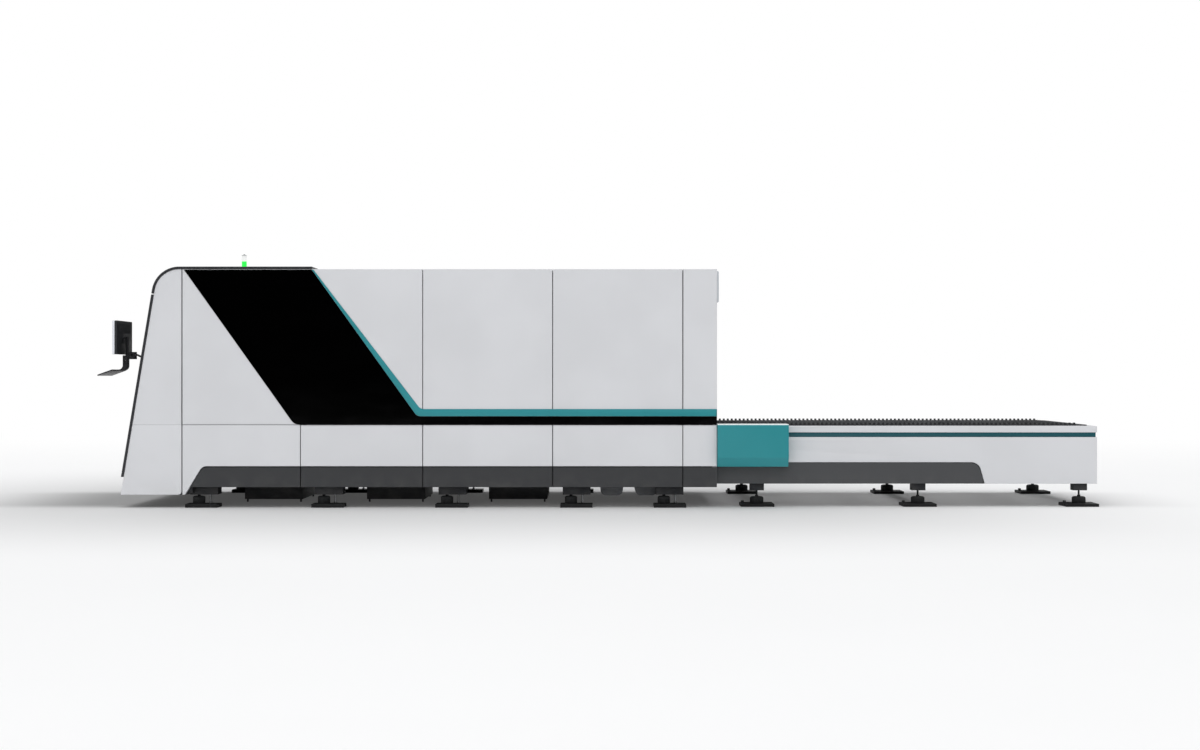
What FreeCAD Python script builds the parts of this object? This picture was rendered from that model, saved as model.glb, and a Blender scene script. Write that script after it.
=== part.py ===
import FreeCAD, Part
import math
import os
import re

import Sketcher

# Sheet-fed laser cutting machine: a closed cabin on a welded bed, and a shuttle table at its exit end.
# X runs along the machine (nose at -X, table at +X), -Y is the operator's side, Z is up from the floor.
# The datum is on the floor, on the machine's centre line, at mid-length.  All sizes are in millimetres.

SIZES = {
    # cabin, measured back from the exit plane
    "exit_x": (1023, "exit plane of the cabin, from the datum"),
    "cabin_width": (2300, "over the raised side trims"),
    "roof_top": (2005, "top of the light roof panels"),
    "nose_floor": (109, "underside of the nose"),
    "front_foot": (5050, "exit plane to the leaning front face, at floor level"),
    "front_slope": (0.1656, "run over rise of the leaning front"),
    "front_skin": (21, "thickness of the dark front and its roof cover"),
    "front_low": (258, "bottom of the dark front"),
    "front_high": (1792, "top of the dark front"),
    "front_gap": (8, "gap under the roof cover"),
    "corner_radius": (232, "bend of the roof cover"),
    "cover_station": (3402, "exit plane to the back of the roof cover"),
    "groove_station": (4496, "exit plane to the groove behind the nose"),
    "groove_gap": (8, "width of that groove"),
    "seam_one": (3500, "exit plane to the first panel seam, low only"),
    "seam_two": (2473, "second panel seam"),
    "seam_three": (1381, "third panel seam"),
    "seam_four": (287, "fourth panel seam"),
    "seam_gap": (6, "gap between neighbouring panels"),
    "seam_level": (697, "height of the long horizontal seam"),
    "line_width": (2, "pressed line that carries that seam across the nose"),
    "cheek_round": (28, "lower back corner of the nose's cheeks"),
    "panel_skin": (34, "depth of a side cassette"),
    "panel_bevel": (3, "broken edge round each cassette"),
    "trim_skin": (6, "thickness of the gloss and teal trims"),
    "skirt_low": (172, "bottom of the dark skirt"),
    "skirt_high": (340, "top of the dark skirt"),
    "skirt_inset": (4, "skirt face behind the cassette face"),
    "skirt_slope": (0.605, "run over rise of the skirt's raked end"),
    "skirt_station": (4327, "exit plane to the rake, at the skirt's top"),
    "skirt_round": (60, "corner where the rake meets the top"),
    # gloss field and teal stripe on the sides
    "gloss_high": (2000, "top of the gloss field"),
    "gloss_low": (698, "bottom of the gloss band"),
    "band_high": (768, "top of the gloss band"),
    "teal_high": (829, "top of the teal band"),
    "gloss_front": (4479, "exit plane to the field's front corner"),
    "gloss_back": (3405, "exit plane to the field's back corner"),
    "gloss_slope": (0.7126, "run over rise of the raked front edge"),
    "band_slope": (0.7183, "run over rise of the raked back edge"),
    "teal_start": (15, "width of the stripe at its top"),
    "teal_slope": (0.7677, "run over rise of the stripe's outer edge"),
    "gloss_round": (80, "lower front corner of the field"),
    "trim_round": (60, "inner corners of field and stripe"),
    "trim_gap": (1, "joint between field and stripe"),
    # cabin frame
    "post_width": (80, "posts, along the machine"),
    "post_depth": (68, "posts and rails, across the machine"),
    "roof_skin": (30, "depth of a roof cassette"),
    "jamb_depth": (60, "front door jambs, along the machine"),
    "jamb_width": (48, "front door jambs, across the machine"),
    "header_width": (70, "beam over the front door"),
    "header_height": (60, "beam over the front door"),
    "pan_skin": (12, "folded pan under the nose"),
    # front door
    "door_side": (130, "cabin side to the far edge of the front door"),
    "door_width": (1440, "front door"),
    "door_gap": (6, "gap at the door's sides"),
    "hinge_radius": (3.5, "rolled hinge along the door's top"),
    "window_low": (1000, "bottom of the door window"),
    "window_height": (560, "door window"),
    "window_side": (240, "door edge to window"),
    "glass_inset": (4, "glass face behind the door face"),
    "handle_level": (880, "height of the door handle"),
    "handle_length": (420, "door handle"),
    "handle_radius": (11, "door handle"),
    "handle_reach": (45, "handle axis off the door face"),
    # exit wall and its two-leaf lift door
    "wall_skin": (40, "exit wall"),
    "doorway_play": (10, "side beam's inner face to doorway"),
    "doorway_low": (300, "sill of the exit doorway"),
    "doorway_high": (1550, "lintel of the exit doorway"),
    "housing_low": (1730, "bottom of the housing over the doorway"),
    "housing_high": (1996, "top of that housing"),
    "housing_reach": (24, "housing, out of the exit plane"),
    "housing_side": (140, "cabin side to housing end"),
    "leaf_low": (730, "closed door's lower edge, just over the pallet"),
    "leaf_height": (418, "one door leaf"),
    "leaf_lap": (10, "overlap of the closed leaves"),
    "leaf_skin": (20, "thickness of a leaf"),
    "leaf_pitch": (25, "spacing of the two leaves"),
    "leaf_cover": (30, "leaf over the doorway's edge"),
    "guide_station": (138, "exit plane to the guides' inner face"),
    "guide_width": (51, "guides, across the machine"),
    "guide_wall": (5, "guide wall beside a leaf"),
    "guide_rise": (822, "guide length above the lower leaf"),
    # stack light
    "light_station": (4177, "exit plane to the stack light"),
    "light_radius": (24, "stack light"),
    "light_base": (40, "foot of the stack light"),
    "light_green": (68, "lit lens"),
    "light_clear": (52, "unlit lenses"),
    "light_cap": (12, "cap"),
    # bed
    "bed_station": (4450, "exit plane to the front of the bed"),
    "beam_width": (182, "bed side beams, across the machine"),
    "beam_low": (167, "underside of the side beams"),
    "beam_high": (640, "top of the side beams"),
    "beam_wall": (16, "side beam plate"),
    "cross_width": (120, "cross members, along the machine"),
    "cross_high": (320, "top of the bed's cross members"),
    "cross_wall": (10, "cross member plate"),
    "leg_length": (235, "leg block under the bed"),
    "leg_low": (104, "underside of a leg block"),
    "foot_one": (4332, "exit plane to the first foot"),
    "foot_two": (3274, "second foot"),
    "foot_three": (2231, "third foot"),
    "foot_four": (1181, "fourth foot"),
    "foot_five": (395, "fifth foot"),
    "pad_length": (272, "floor pad under the bed"),
    "pad_width": (200, "floor pad under the bed"),
    "pad_height": (30, "floor pad under the bed"),
    "jack_length": (105, "levelling jack"),
    "jack_width": (90, "levelling jack"),
    "jack_crown": (14, "bevel of a jack's shoulders"),
    "jack_neck": (12, "bare screw above a jack"),
    "jack_screw": (14, "radius of a jack's screw"),
    "jack_offset": (48, "jack off the pad's centre"),
    "anchor_radius": (8.5, "anchor bolts"),
    "anchor_offset": (50, "anchor bolt off the pad's centre"),
    "nut_radius": (15, "anchor nuts, across corners"),
    "nut_height": (14, "anchor nuts"),
    # gantry
    "rail_size": (35, "gantry rail, square"),
    "rail_station": (3825, "exit plane to the rails' front end"),
    "rail_length": (3660, "gantry rails"),
    "gantry_station": (3518, "exit plane to the parked gantry"),
    "gantry_depth": (300, "gantry beam, along the machine"),
    "gantry_low": (760, "underside of the gantry beam"),
    "gantry_height": (300, "gantry beam"),
    "gantry_wall": (10, "gantry beam plate"),
    "truck_length": (500, "gantry end carriages"),
    "truck_width": (142, "gantry end carriages"),
    "truck_lift": (15, "carriage over the side beam"),
    "run_gap": (0.3, "running gap of rails, wheels and bearings"),
    "way_size": (25, "rails of the cross carriage"),
    "way_low": (800, "lower rail of the cross carriage"),
    "way_high": (1010, "upper rail of the cross carriage"),
    "carriage_width": (220, "cross carriage"),
    "carriage_skin": (50, "cross carriage"),
    "head_low": (870, "bottom of the head's slide"),
    "head_high": (1290, "top of the head's slide"),
    "head_plate": (30, "thickness of the head's slide"),
    "head_radius": (45, "cutting head barrel"),
    "head_reach": (80, "barrel axis off the cross carriage"),
    "nozzle_height": (30, "nozzle"),
    "nozzle_tip": (840, "lower end of the nozzle"),
    # shuttle pallets
    "pallet_start": (38, "exit plane back to the pallet's near end"),
    "pallet_end": (43, "table's outer end to the pallet's outer end"),
    "pallet_play": (5, "pallet side to track"),
    "pallet_rail": (30, "side rail of a pallet"),
    "pallet_low": (600, "underside of the upper pallet"),
    "pallet_high": (690, "top of its side rails"),
    "level_drop": (250, "upper to lower pallet"),
    "pallet_rest": (15, "gap between the two pallets, end to end"),
    "slat_start": (20, "exit plane to the first slat"),
    "slat_pitch": (37.3, "slats"),
    "slat_margin": (150, "pallet ends without slats, together"),
    "slat_skin": (3, "slats"),
    "slat_seat": (17, "slat foot above the pallet's underside"),
    "slat_height": (90, "slats"),
    "ledger_width": (40, "ledgers under the slat ends"),
    "comb_skin": (12, "notched comb under the slats' middles"),
    "comb_height": (42, "notched comb"),
    "notch_play": (0.2, "play of a slat in its notch, each side"),
    "slat_play": (2, "slat end to side rail"),
    "bearer_width": (20, "end beams of a pallet, along the machine"),
    "tie_width": (50, "cross ties under a pallet"),
    "tie_height": (20, "cross ties"),
    "step_plate": (6, "plate at the pallet's outer end"),
    "step_length": (80, "that plate"),
    "wheel_radius": (29.7, "pallet wheels"),
    "wheel_width": (26, "pallet wheels"),
    "axle_radius": (12, "pallet axles"),
    "axle_level": (35, "axle above the pallet's underside"),
    "axle_inset": (37, "pallet end to axle"),
    "axle_outset": (60, "outer pallet end to axle"),
    "bore_play": (0.1, "play of shafts in their bores"),
    # tracks
    "track_width": (40, "pallet tracks"),
    "track_skin": (6, "pallet tracks"),
    "track_web": (30, "downturned leg of a track"),
    "track_foot": (8, "thickness of that leg"),
    "track_end": (113, "cabin tracks beyond the pallet's run"),
    # table
    "table_length": (3230, "exit plane to the table's outer end"),
    "table_low": (194, "underside of the table"),
    "table_high": (682, "top of the table"),
    "cap_height": (54, "light strip along the top"),
    "stripe_height": (39, "teal strip under it"),
    "stripe_inset": (10, "teal strip behind the panels"),
    "table_skin": (20, "table side panels"),
    "table_beam": (120, "table side beams"),
    "table_wall": (8, "table side beam plate"),
    "table_cross": (325, "top of the table's cross members"),
    "table_skirt": (370, "top of the table's dark skirt"),
    "rake_end": (957, "table's outer end to the skirt's raked end, at the bottom"),
    "table_run": (51, "run of that raked end"),
    "table_round": (80, "upper corner of the table's skirt"),
    "panel_gap": (5, "gap round the table's skirt"),
    "end_beam": (20, "table end beam"),
    "cap_end": (38, "end strip, along the machine"),
    "table_foot_one": (352, "exit plane to the table's first feet"),
    "foot_end": (133, "table's outer end to the last feet"),
    "table_pad": (280, "floor pad under the table, square"),
    "table_pad_height": (25, "floor pad under the table"),
    "table_jack": (82, "top of a table jack"),
    "table_leg": (116, "leg block under the table, square"),
    "table_leg_low": (135, "underside of that block"),
    # pallet drive
    "drive_station": (297, "exit plane to the drive shaft"),
    "idler_end": (193, "table's outer end to the idler shaft"),
    "shaft_level": (530, "height of both shafts"),
    "shaft_radius": (20, "drive shaft"),
    "sprocket_radius": (48, "sprockets"),
    "chain_play": (18, "side beam's inner face to chain"),
    "sprocket_width": (16, "sprockets and chains"),
    "chain_skin": (8, "depth of a chain"),
    "cover_start": (2, "exit plane to the drive cover"),
    "cover_length": (596, "drive cover"),
    "cover_reach": (205, "drive cover, out of the table's side"),
    "cover_low": (344, "bottom of the drive cover"),
    "cover_high": (703, "top of the drive cover"),
    "cover_break": (422, "height where its face turns in"),
    "cover_turn": (55, "how far it turns in"),
    "cover_round": (18, "rounded edges of the drive cover"),
    "cover_wall": (5, "drive cover sheet"),
    "gearbox_size": (160, "gearbox, along and up"),
    "gearbox_width": (150, "gearbox, across"),
    "gearbox_gap": (30, "table side to gearbox"),
    "motor_radius": (58, "drive motor"),
    "motor_length": (170, "drive motor"),
    # dust troughs under the bed
    "duct_one": (883, "exit plane to the first trough"),
    "duct_two": (587, "second trough"),
    "duct_width": (230, "trough"),
    "duct_low": (87, "bottom of a trough"),
    "duct_high": (300, "rim of a trough"),
    "duct_taper": (25, "how far a trough narrows each side"),
    "duct_round": (45, "rounded bottom edges"),
    "duct_wall": (4, "trough sheet"),
    # scrap carts
    "cart_one": (3845, "exit plane to the first cart"),
    "cart_pitch": (1071, "spacing of the carts"),
    "cart_length": (510, "cart, along the machine"),
    "cart_half": (400, "half depth of a cart"),
    "cart_low": (26, "bottom of a cart"),
    "cart_high": (152, "rim of a cart"),
    "cart_wall": (4, "cart sheet"),
    "cart_wheel": (14, "radius of a cart's wheels"),
    "cart_tread": (14, "width of a cart's wheels"),
    # operator's console
    "console_side": (300, "cabin side to the console's axis"),
    "bracket_level": (1280, "height of the console's swing arm"),
    "bracket_height": (80, "plate on the leaning front"),
    "bracket_skin": (12, "that plate"),
    "pivot_reach": (42, "front face to the first pivot"),
    "arm_length": (84, "pivot to pivot"),
    "arm_height": (16, "swing arm"),
    "arm_drop": (18, "how far the arm drops towards the front face"),
    "boss_radius": (22, "pivot bosses"),
    "pin_radius": (9, "pivot pins"),
    "lug_height": (18, "bracket lug under the arm"),
    "knuckle_low": (1250, "lower end of the console's knuckle"),
    "knuckle_high": (1312, "upper end of that knuckle"),
    "neck_reach": (71, "second pivot to the neck's axis"),
    "neck_width": (44, "neck, along the machine"),
    "neck_depth": (60, "neck, across the machine"),
    "neck_high": (1440, "top of the neck"),
    "neck_shoulder": (1283, "height where the neck narrows behind the monitor"),
    "neck_step": (24, "how far its front face steps back there"),
    "screen_width": (544, "monitor"),
    "screen_low": (1290, "bottom of the monitor"),
    "screen_high": (1575, "top of the monitor"),
    "screen_back": (20, "dark back of the monitor"),
    "screen_front": (20, "light front of the monitor"),
    "screen_border": (24, "border round the display"),
    "screen_round": (12, "corners of the monitor"),
    "glass_skin": (4, "display glass"),
    "tilt_radius": (7, "tilt barrel behind the monitor"),
    "tilt_length": (90, "tilt barrel"),
    "neck_bend": (42, "outer bend of the neck into the tray"),
    "neck_fillet": (36, "inner bend of the neck onto the tray"),
    "slot_low": (1214, "opening in the neck"),
    "slot_height": (29, "opening in the neck"),
    "slot_width": (12, "opening in the neck"),
    "tray_tip": (182, "neck's axis to the tray's front edge"),
    "tray_depth": (122, "keyboard tray, front to back"),
    "tray_width": (500, "keyboard tray, across the machine"),
    "tray_low": (1108, "underside of the tray's front edge"),
    "tray_skin": (10, "thickness of the tray, upright"),
    "tray_slope": (0.36, "rise over run of the tray"),
    "key_length": (88, "keyboard, front to back"),
    "key_start": (8, "tray's front edge to the keyboard"),
    "key_width": (330, "keyboard"),
    "key_height": (11, "keyboard"),
    "key_shift": (25, "keyboard off the console's axis"),
    "stop_radius": (16, "emergency stop's mushroom"),
    "stop_height": (12, "emergency stop's mushroom"),
    "stop_stem": (8, "radius of its stem"),
    "stop_collar": (6, "height of its collar"),
    "stop_travel": (4, "travel of the emergency stop"),
    "stop_depth": (22, "stem hole in the stop's box"),
    "stop_level": (1100, "height of the emergency stop on the front"),
    "stop_axis": (230, "console's axis to the emergency stop"),
    "stop_box": (72, "box of the emergency stop, square on"),
    "stop_reach": (34, "that box, out of the front at its foot"),
}

# Sizes that follow from others, so that neighbours keep together
TIED = {
    "beam_inner": "cabin_width / 2 - trim_skin - panel_skin - post_depth - beam_width",
    "rail_axis": "beam_inner + beam_width / 2",
    "doorway_half": "beam_inner + doorway_play",
    "leaf_half": "doorway_half + leaf_cover",
    "housing_half": "cabin_width / 2 - housing_side",
    "table_half": "beam_inner + table_beam + table_skin",
    "table_foot_axis": "beam_inner + table_beam / 3",
    "pallet_half": "beam_inner - track_width - pallet_play",
    "sprocket_axis": "beam_inner - chain_play - sprocket_width / 2",
    "shaft_end": "beam_inner + table_beam / 3",
    "console_axis": "console_side - cabin_width / 2",
    "door_near": "cabin_width / 2 - door_side - door_width",
    "pallet_length": "table_length + pallet_start - pallet_end",
    "travel": "pallet_length + pallet_rest",
    "idler_station": "table_length - idler_end",
    "table_foot_three": "table_length - foot_end",
    "table_foot_two": "(table_foot_one + table_foot_three) / 2",
    "table_rake": "table_length - rake_end",
    "bed_track": "travel + track_end",
    "slat_count": "floor((pallet_length - slat_margin) / slat_pitch) + 1",
}

doc = FreeCAD.newDocument("laser_cutting_machine")
sheet = doc.addObject("Spreadsheet::Sheet", "Sizes")
for row, (alias, (value, meaning)) in enumerate(SIZES.items(), start=1):
    sheet.set(f"A{row}", meaning)
    sheet.set(f"B{row}", str(value))
    sheet.setAlias(f"B{row}", alias)
doc.recompute()

NODES = []
SIDES = 16
TURNS = {
    "x": FreeCAD.Rotation(FreeCAD.Vector(0, 1, 0), 90),
    "y": FreeCAD.Rotation(FreeCAD.Vector(1, 0, 0), -90),
    "z": FreeCAD.Rotation(),
}
FLAT = {"XZ_Plane": "y", "YZ_Plane": "x", "XY_Plane": "z"}


def bind(text):
    """An expression in the words of both tables, such as exit_x - seam_one, as FreeCAD reads it."""
    def read(word):
        name = word.group()
        if name in SIZES:
            return "Sizes." + name
        return f"({bind(TIED[name])})" if name in TIED else name
    return re.sub(r"[a-z_]+", read, text)


def place(item, x, y, z):
    """Tie an object's position to the sheet."""
    for axis, text in zip("xyz", (x, y, z)):
        item.setExpression(f"Placement.Base.{axis}", bind(text))
    return item


def box(name, x, y, z, length, width, height):
    """A block from its low corner and its three sizes."""
    item = doc.addObject("Part::Box", name)
    for key, text in (("Length", length), ("Width", width), ("Height", height)):
        item.setExpression(key, bind(text))
    return place(item, x, y, z)


def rod(name, axis, x, y, z, radius, length, sides=SIDES):
    """A round bar that starts at a point and runs along x, y or z, kept light with flat sides."""
    item = doc.addObject("Part::Prism", name)
    item.Placement = FreeCAD.Placement(FreeCAD.Vector(), TURNS[axis])
    item.Polygon = sides
    item.setExpression("Circumradius", bind(radius))
    item.setExpression("Height", bind(length))
    return place(item, x, y, z)


def bore(name, axis, x, y, z, radius, length):
    """A hole whose flats clear a round bar of that radius."""
    return rod(name, axis, x, y, z, f"({radius}) * {1 / math.cos(math.pi / SIDES)}", length)


def turned(name, x, y, z, steps):
    """An upright turned piece from its low end up, given as steps of radius and height."""
    items = []
    for k, (radius, height) in enumerate(steps):
        items.append(rod(f"{name}_{k}", "z", x, y, z, radius, height))
        z = f"{z} + {height}"
    return joined(name, items)


def joined(name, items):
    item = doc.addObject("Part::MultiFuse", name)
    item.Shapes = items
    item.Refine = True
    return item


def without(name, base, tools):
    item = doc.addObject("Part::Cut", name)
    item.Base = base
    item.Tool = tools[0] if len(tools) == 1 else joined(name + "_tools", tools)
    return item


def mirrored(item):
    """The same piece on the far side of the centre line."""
    twin = doc.addObject("Part::Mirroring", item.Name + "_far")
    twin.Source = item
    twin.Normal = FreeCAD.Vector(0, 1, 0)
    return twin


def both_sides(items):
    return [side for item in items for side in (item, mirrored(item))]


def node(label, items):
    """Name one sub-part; a sub-part of several like solids is a group of them."""
    item = items[0]
    if len(items) > 1:
        item = doc.addObject("Part::Compound", label)
        item.Links = items
    item.Label = label
    NODES.append(item)
    return item


def origin_part(body, role):
    return next(part for part in body.Origin.OriginFeatures if part.Role == role)


def outline(body, name, flat, corners, offset):
    """A closed sketch of straight edges, each corner held by two dimensions from the sheet."""
    sketch = body.newObject("Sketcher::SketchObject", name)
    sketch.AttachmentSupport = (origin_part(body, flat), "")
    sketch.MapMode = "FlatFace"
    sketch.setExpression("AttachmentOffset.Base.z", bind(offset))
    count = len(corners)
    starts = [FreeCAD.Vector(sketch.evalExpression(bind(across)), sketch.evalExpression(bind(up)), 0)
              for across, up in corners]
    sketch.addGeometry([Part.LineSegment(starts[k], starts[(k + 1) % count]) for k in range(count)])
    sketch.addConstraint([Sketcher.Constraint("Coincident", k, 2, (k + 1) % count, 1)
                          for k in range(count)])
    for k, (across, up) in enumerate(corners):
        for kind, text, start in (("DistanceX", across, starts[k].x), ("DistanceY", up, starts[k].y)):
            index = sketch.addConstraint(Sketcher.Constraint(kind, -1, 1, k, 1, start))
            sketch.setExpression(f"Constraints[{index}]", bind(text))
    return sketch


def prism(name, flat, corners, low, depth, rounds=(), bevel=None):
    """A profile on one of the three flats, from low over depth, with its corners rounded.

    rounds holds (corner number, radius); bevel breaks the edges of the end face at Min or at Max.
    """
    body = doc.addObject("PartDesign::Body", name)
    offset = f"-({low}) - ({depth})" if flat == "XZ_Plane" else low
    sketch = outline(body, name + "_outline", flat, corners, offset)
    pad = body.newObject("PartDesign::Pad", name + "_pad")
    pad.Profile = sketch
    pad.setExpression("Length", bind(depth))
    doc.recompute()
    for radius in sorted({radius for _, radius in rounds}):
        spots = [sketch.Placement.multVec(sketch.Geometry[k].StartPoint)
                 for k, size in rounds if size == radius]
        round_edges(body, name, "PartDesign::Fillet", "Radius", radius,
                    lambda edge: any(beside(edge, spot, FLAT[flat]) for spot in spots))
    if bevel:
        end, size = bevel
        level = getattr(body.Shape.BoundBox, FLAT[flat].upper() + end)
        round_edges(body, name + "_edge", "PartDesign::Chamfer", "Size", size,
                    lambda edge: all(abs(getattr(v.Point, FLAT[flat]) - level) < 1e-4
                                     for v in edge.Vertexes))
    return body


def beside(edge, spot, axis):
    """Whether both ends of an edge lie on the line through spot along axis."""
    others = [letter for letter in "xyz" if letter != axis]
    ends = [vertex.Point for vertex in edge.Vertexes]
    return len(ends) == 2 and all(abs(getattr(p, k) - getattr(spot, k)) < 1e-3
                                  for p in ends for k in others)


def round_edges(body, name, kind, key, size, chosen):
    base = body.Tip
    names = [f"Edge{k}" for k, edge in enumerate(base.Shape.Edges, start=1) if chosen(edge)]
    item = body.newObject(kind, f"{name}_{key.lower()}")
    item.Base = (base, names)
    item.setExpression(key, bind(size))
    doc.recompute()


# Planes that many pieces share, across the machine
FACE = "(cabin_width / 2 - trim_skin)"
BACK = "(cabin_width / 2 - trim_skin - panel_skin)"
BEAM_OUTER = "(cabin_width / 2 - trim_skin - panel_skin - post_depth)"
BEAM_WIDTH = f"({BEAM_OUTER} - beam_inner)"
# and along and up it
GROOVE_FRONT = "(exit_x - groove_station - groove_gap / 2)"
GROOVE_BACK = "(exit_x - groove_station + groove_gap / 2)"
WALL_FACE = "(exit_x - wall_skin)"
ROOF_UNDER = "(roof_top - roof_skin)"
COVER_TOP = "(roof_top + front_skin)"
DOOR_TOP = "(front_high + front_gap)"
PAN_TOP = "(nose_floor + pan_skin)"
LEAN = "sqrt(1 + front_slope * front_slope)"


def station(size, shift="0"):
    """X of a plane measured back from the exit plane."""
    return f"(exit_x - {size} + {shift})"


def front(level, depth="0"):
    """X of the leaning front at a height, depth behind its outer face."""
    return f"(exit_x - front_foot + front_slope * ({level}) + ({depth}) * {LEAN})"


def leaning(name, low, high, depth, skin, near, width):
    """A slab that follows the leaning front between two heights."""
    corners = [(front(low, depth), low), (front(high, depth), high),
               (front(high, f"{depth} + {skin}"), high), (front(low, f"{depth} + {skin}"), low)]
    return prism(name, "XZ_Plane", corners, near, width)


def bays(seams):
    """Front and back edge of each panel between the groove, the seams and the exit plane."""
    fronts = [GROOVE_BACK] + [station(seam, "seam_gap / 2") for seam in seams]
    backs = [station(seam, "-seam_gap / 2") for seam in seams] + ["exit_x"]
    return list(zip(fronts, backs))


def cassette(name, corners, rounds=()):
    """One light sheet-metal cassette of the operator's side, with a broken outer edge."""
    return prism(name, "XZ_Plane", corners, f"-{FACE}", "panel_skin", rounds, ("Min", "panel_bevel"))


def rectangle(first, second, low, high):
    return [(first, low), (second, low), (second, high), (first, high)]


# ---- side cassettes, skirts and trims -------------------------------------------------------------
UPPER_LOW = "(seam_level + seam_gap / 2)"
LOWER_HIGH = "(seam_level - seam_gap / 2)"
LOWER_LOW = "(skirt_high + seam_gap + 2)"


def skirt_rake(level, shift):
    return f"(exit_x - skirt_station + skirt_slope * ({level} - skirt_high) + {shift})"


upper = [cassette(f"upper_panel_{k}", rectangle(first, second, UPPER_LOW, "roof_top"))
         for k, (first, second) in enumerate(bays(["seam_two", "seam_three", "seam_four"]))]
node("side_upper_panels", both_sides(upper))

LOWER_BAYS = bays(["seam_one", "seam_two", "seam_three", "seam_four"])
first_edge, second_edge = LOWER_BAYS[0]
lower = [cassette("lower_panel_0", [
    (first_edge, "nose_floor"),
    (skirt_rake("nose_floor", "-seam_gap / 2"), "nose_floor"),
    (skirt_rake(LOWER_LOW, "-seam_gap / 2"), LOWER_LOW),
    (second_edge, LOWER_LOW),
    (second_edge, LOWER_HIGH),
    (first_edge, LOWER_HIGH)], [(2, "skirt_round")])]
lower += [cassette(f"lower_panel_{k}", rectangle(first, second, LOWER_LOW, LOWER_HIGH))
          for k, (first, second) in enumerate(LOWER_BAYS[1:], start=1)]
node("side_lower_panels", both_sides(lower))


def skirt(name, corners, rounds=()):
    return prism(name, "XZ_Plane", corners, f"-({FACE} - skirt_inset)", "panel_skin - skirt_inset",
                 rounds,
                 ("Min", "panel_bevel"))


skirts = [skirt("skirt_0", [
    (skirt_rake("skirt_low", "seam_gap / 2"), "skirt_low"),
    (second_edge, "skirt_low"),
    (second_edge, "skirt_high"),
    (skirt_rake("skirt_high", "seam_gap / 2"), "skirt_high")], [(3, "skirt_round")])]
skirts += [skirt(f"skirt_{k}", rectangle(first, second, "skirt_low", "skirt_high"))
           for k, (first, second) in enumerate(LOWER_BAYS[1:], start=1)]


def gloss_edge(level):
    return f"(exit_x - gloss_front + gloss_slope * (gloss_high - {level}))"


def band_edge(level):
    return f"(exit_x - gloss_back + band_slope * (gloss_high - {level}))"


def teal_edge(level):
    return f"(exit_x - gloss_back + teal_start + teal_slope * (gloss_high - {level}))"


gloss = prism("gloss_panel", "XZ_Plane", [
    (gloss_edge("gloss_high"), "gloss_high"),
    (gloss_edge("gloss_low"), "gloss_low"),
    ("exit_x", "gloss_low"),
    ("exit_x", "band_high"),
    (band_edge("band_high"), "band_high"),
    (band_edge("gloss_high"), "gloss_high")],
    "-cabin_width / 2", "trim_skin", [(1, "gloss_round"), (4, "trim_round")])
node("side_gloss_panels", both_sides([gloss]))

TEAL_LOW = "(band_high + trim_gap)"
teal = prism("teal_stripe", "XZ_Plane", [
    (f"{band_edge('gloss_high')} + trim_gap", "gloss_high"),
    (f"{band_edge(TEAL_LOW)} + trim_gap", TEAL_LOW),
    ("exit_x", TEAL_LOW),
    ("exit_x", "teal_high"),
    (teal_edge("teal_high"), "teal_high"),
    (teal_edge("gloss_high"), "gloss_high")],
    "-cabin_width / 2", "trim_skin", [(1, "trim_round"), (4, "trim_round")])

# ---- roof -----------------------------------------------------------------------------------------
roof = [box(f"roof_{k}", first, f"-{BACK}", ROOF_UNDER, f"{second} - {first}", f"2 * {BACK}", "roof_skin")
        for k, (first, second) in enumerate(bays(["seam_two", "seam_three", "seam_four"]))]
node("roof_panels", roof)

node("roof_front_cover", [prism("roof_cover", "XZ_Plane", [
    (front(DOOR_TOP), DOOR_TOP),
    (front(COVER_TOP), COVER_TOP),
    (station("cover_station"), COVER_TOP),
    (station("cover_station"), "roof_top"),
    (front("roof_top", "front_skin"), "roof_top"),
    (front(DOOR_TOP, "front_skin"), DOOR_TOP)],
    "-cabin_width / 2", "cabin_width",
    [(1, "corner_radius"), (4, "corner_radius - front_skin")])])

# ---- nose -----------------------------------------------------------------------------------------
cheek = cassette("cheek", [
    (front("nose_floor", "front_skin"), "nose_floor"),
    (GROOVE_FRONT, "nose_floor"),
    (GROOVE_FRONT, "roof_top"),
    (front("roof_top", "front_skin"), "roof_top")],
    [(1, "cheek_round"), (3, "corner_radius - front_skin")])
fold = box("cheek_fold", front("nose_floor"), f"-{FACE} - line_width", "seam_level - line_width / 2",
           f"{GROOVE_FRONT} - {front('nose_floor')} + line_width", "2 * line_width", "line_width")
node("nose_cheeks", both_sides([without("creased_cheek", cheek, [fold])]))

PAN_DEPTH = "front_skin + pan_skin"
PAN_END = f"({GROOVE_BACK} + post_width / 2)"
node("nose_pan", [prism("pan", "XZ_Plane", [
    (front("nose_floor", "front_skin"), "nose_floor"),
    (PAN_END, "nose_floor"),
    (PAN_END, PAN_TOP),
    (front(PAN_TOP, PAN_DEPTH), PAN_TOP),
    (front("front_low", PAN_DEPTH), "front_low"),
    (front("front_low", "front_skin"), "front_low")],
    f"-{BACK}", f"2 * {BACK}")])

DOOR_NEAR = "(door_near - door_gap)"
DOOR_FAR = "(door_near + door_width + door_gap)"
node("nose_front_panels", [
    leaning("front_near", "front_low", "front_high", "0", "front_skin",
            "-cabin_width / 2", f"cabin_width / 2 + {DOOR_NEAR}"),
    leaning("front_far", "front_low", "front_high", "0", "front_skin",
            DOOR_FAR, f"cabin_width / 2 - {DOOR_FAR}")])

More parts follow.
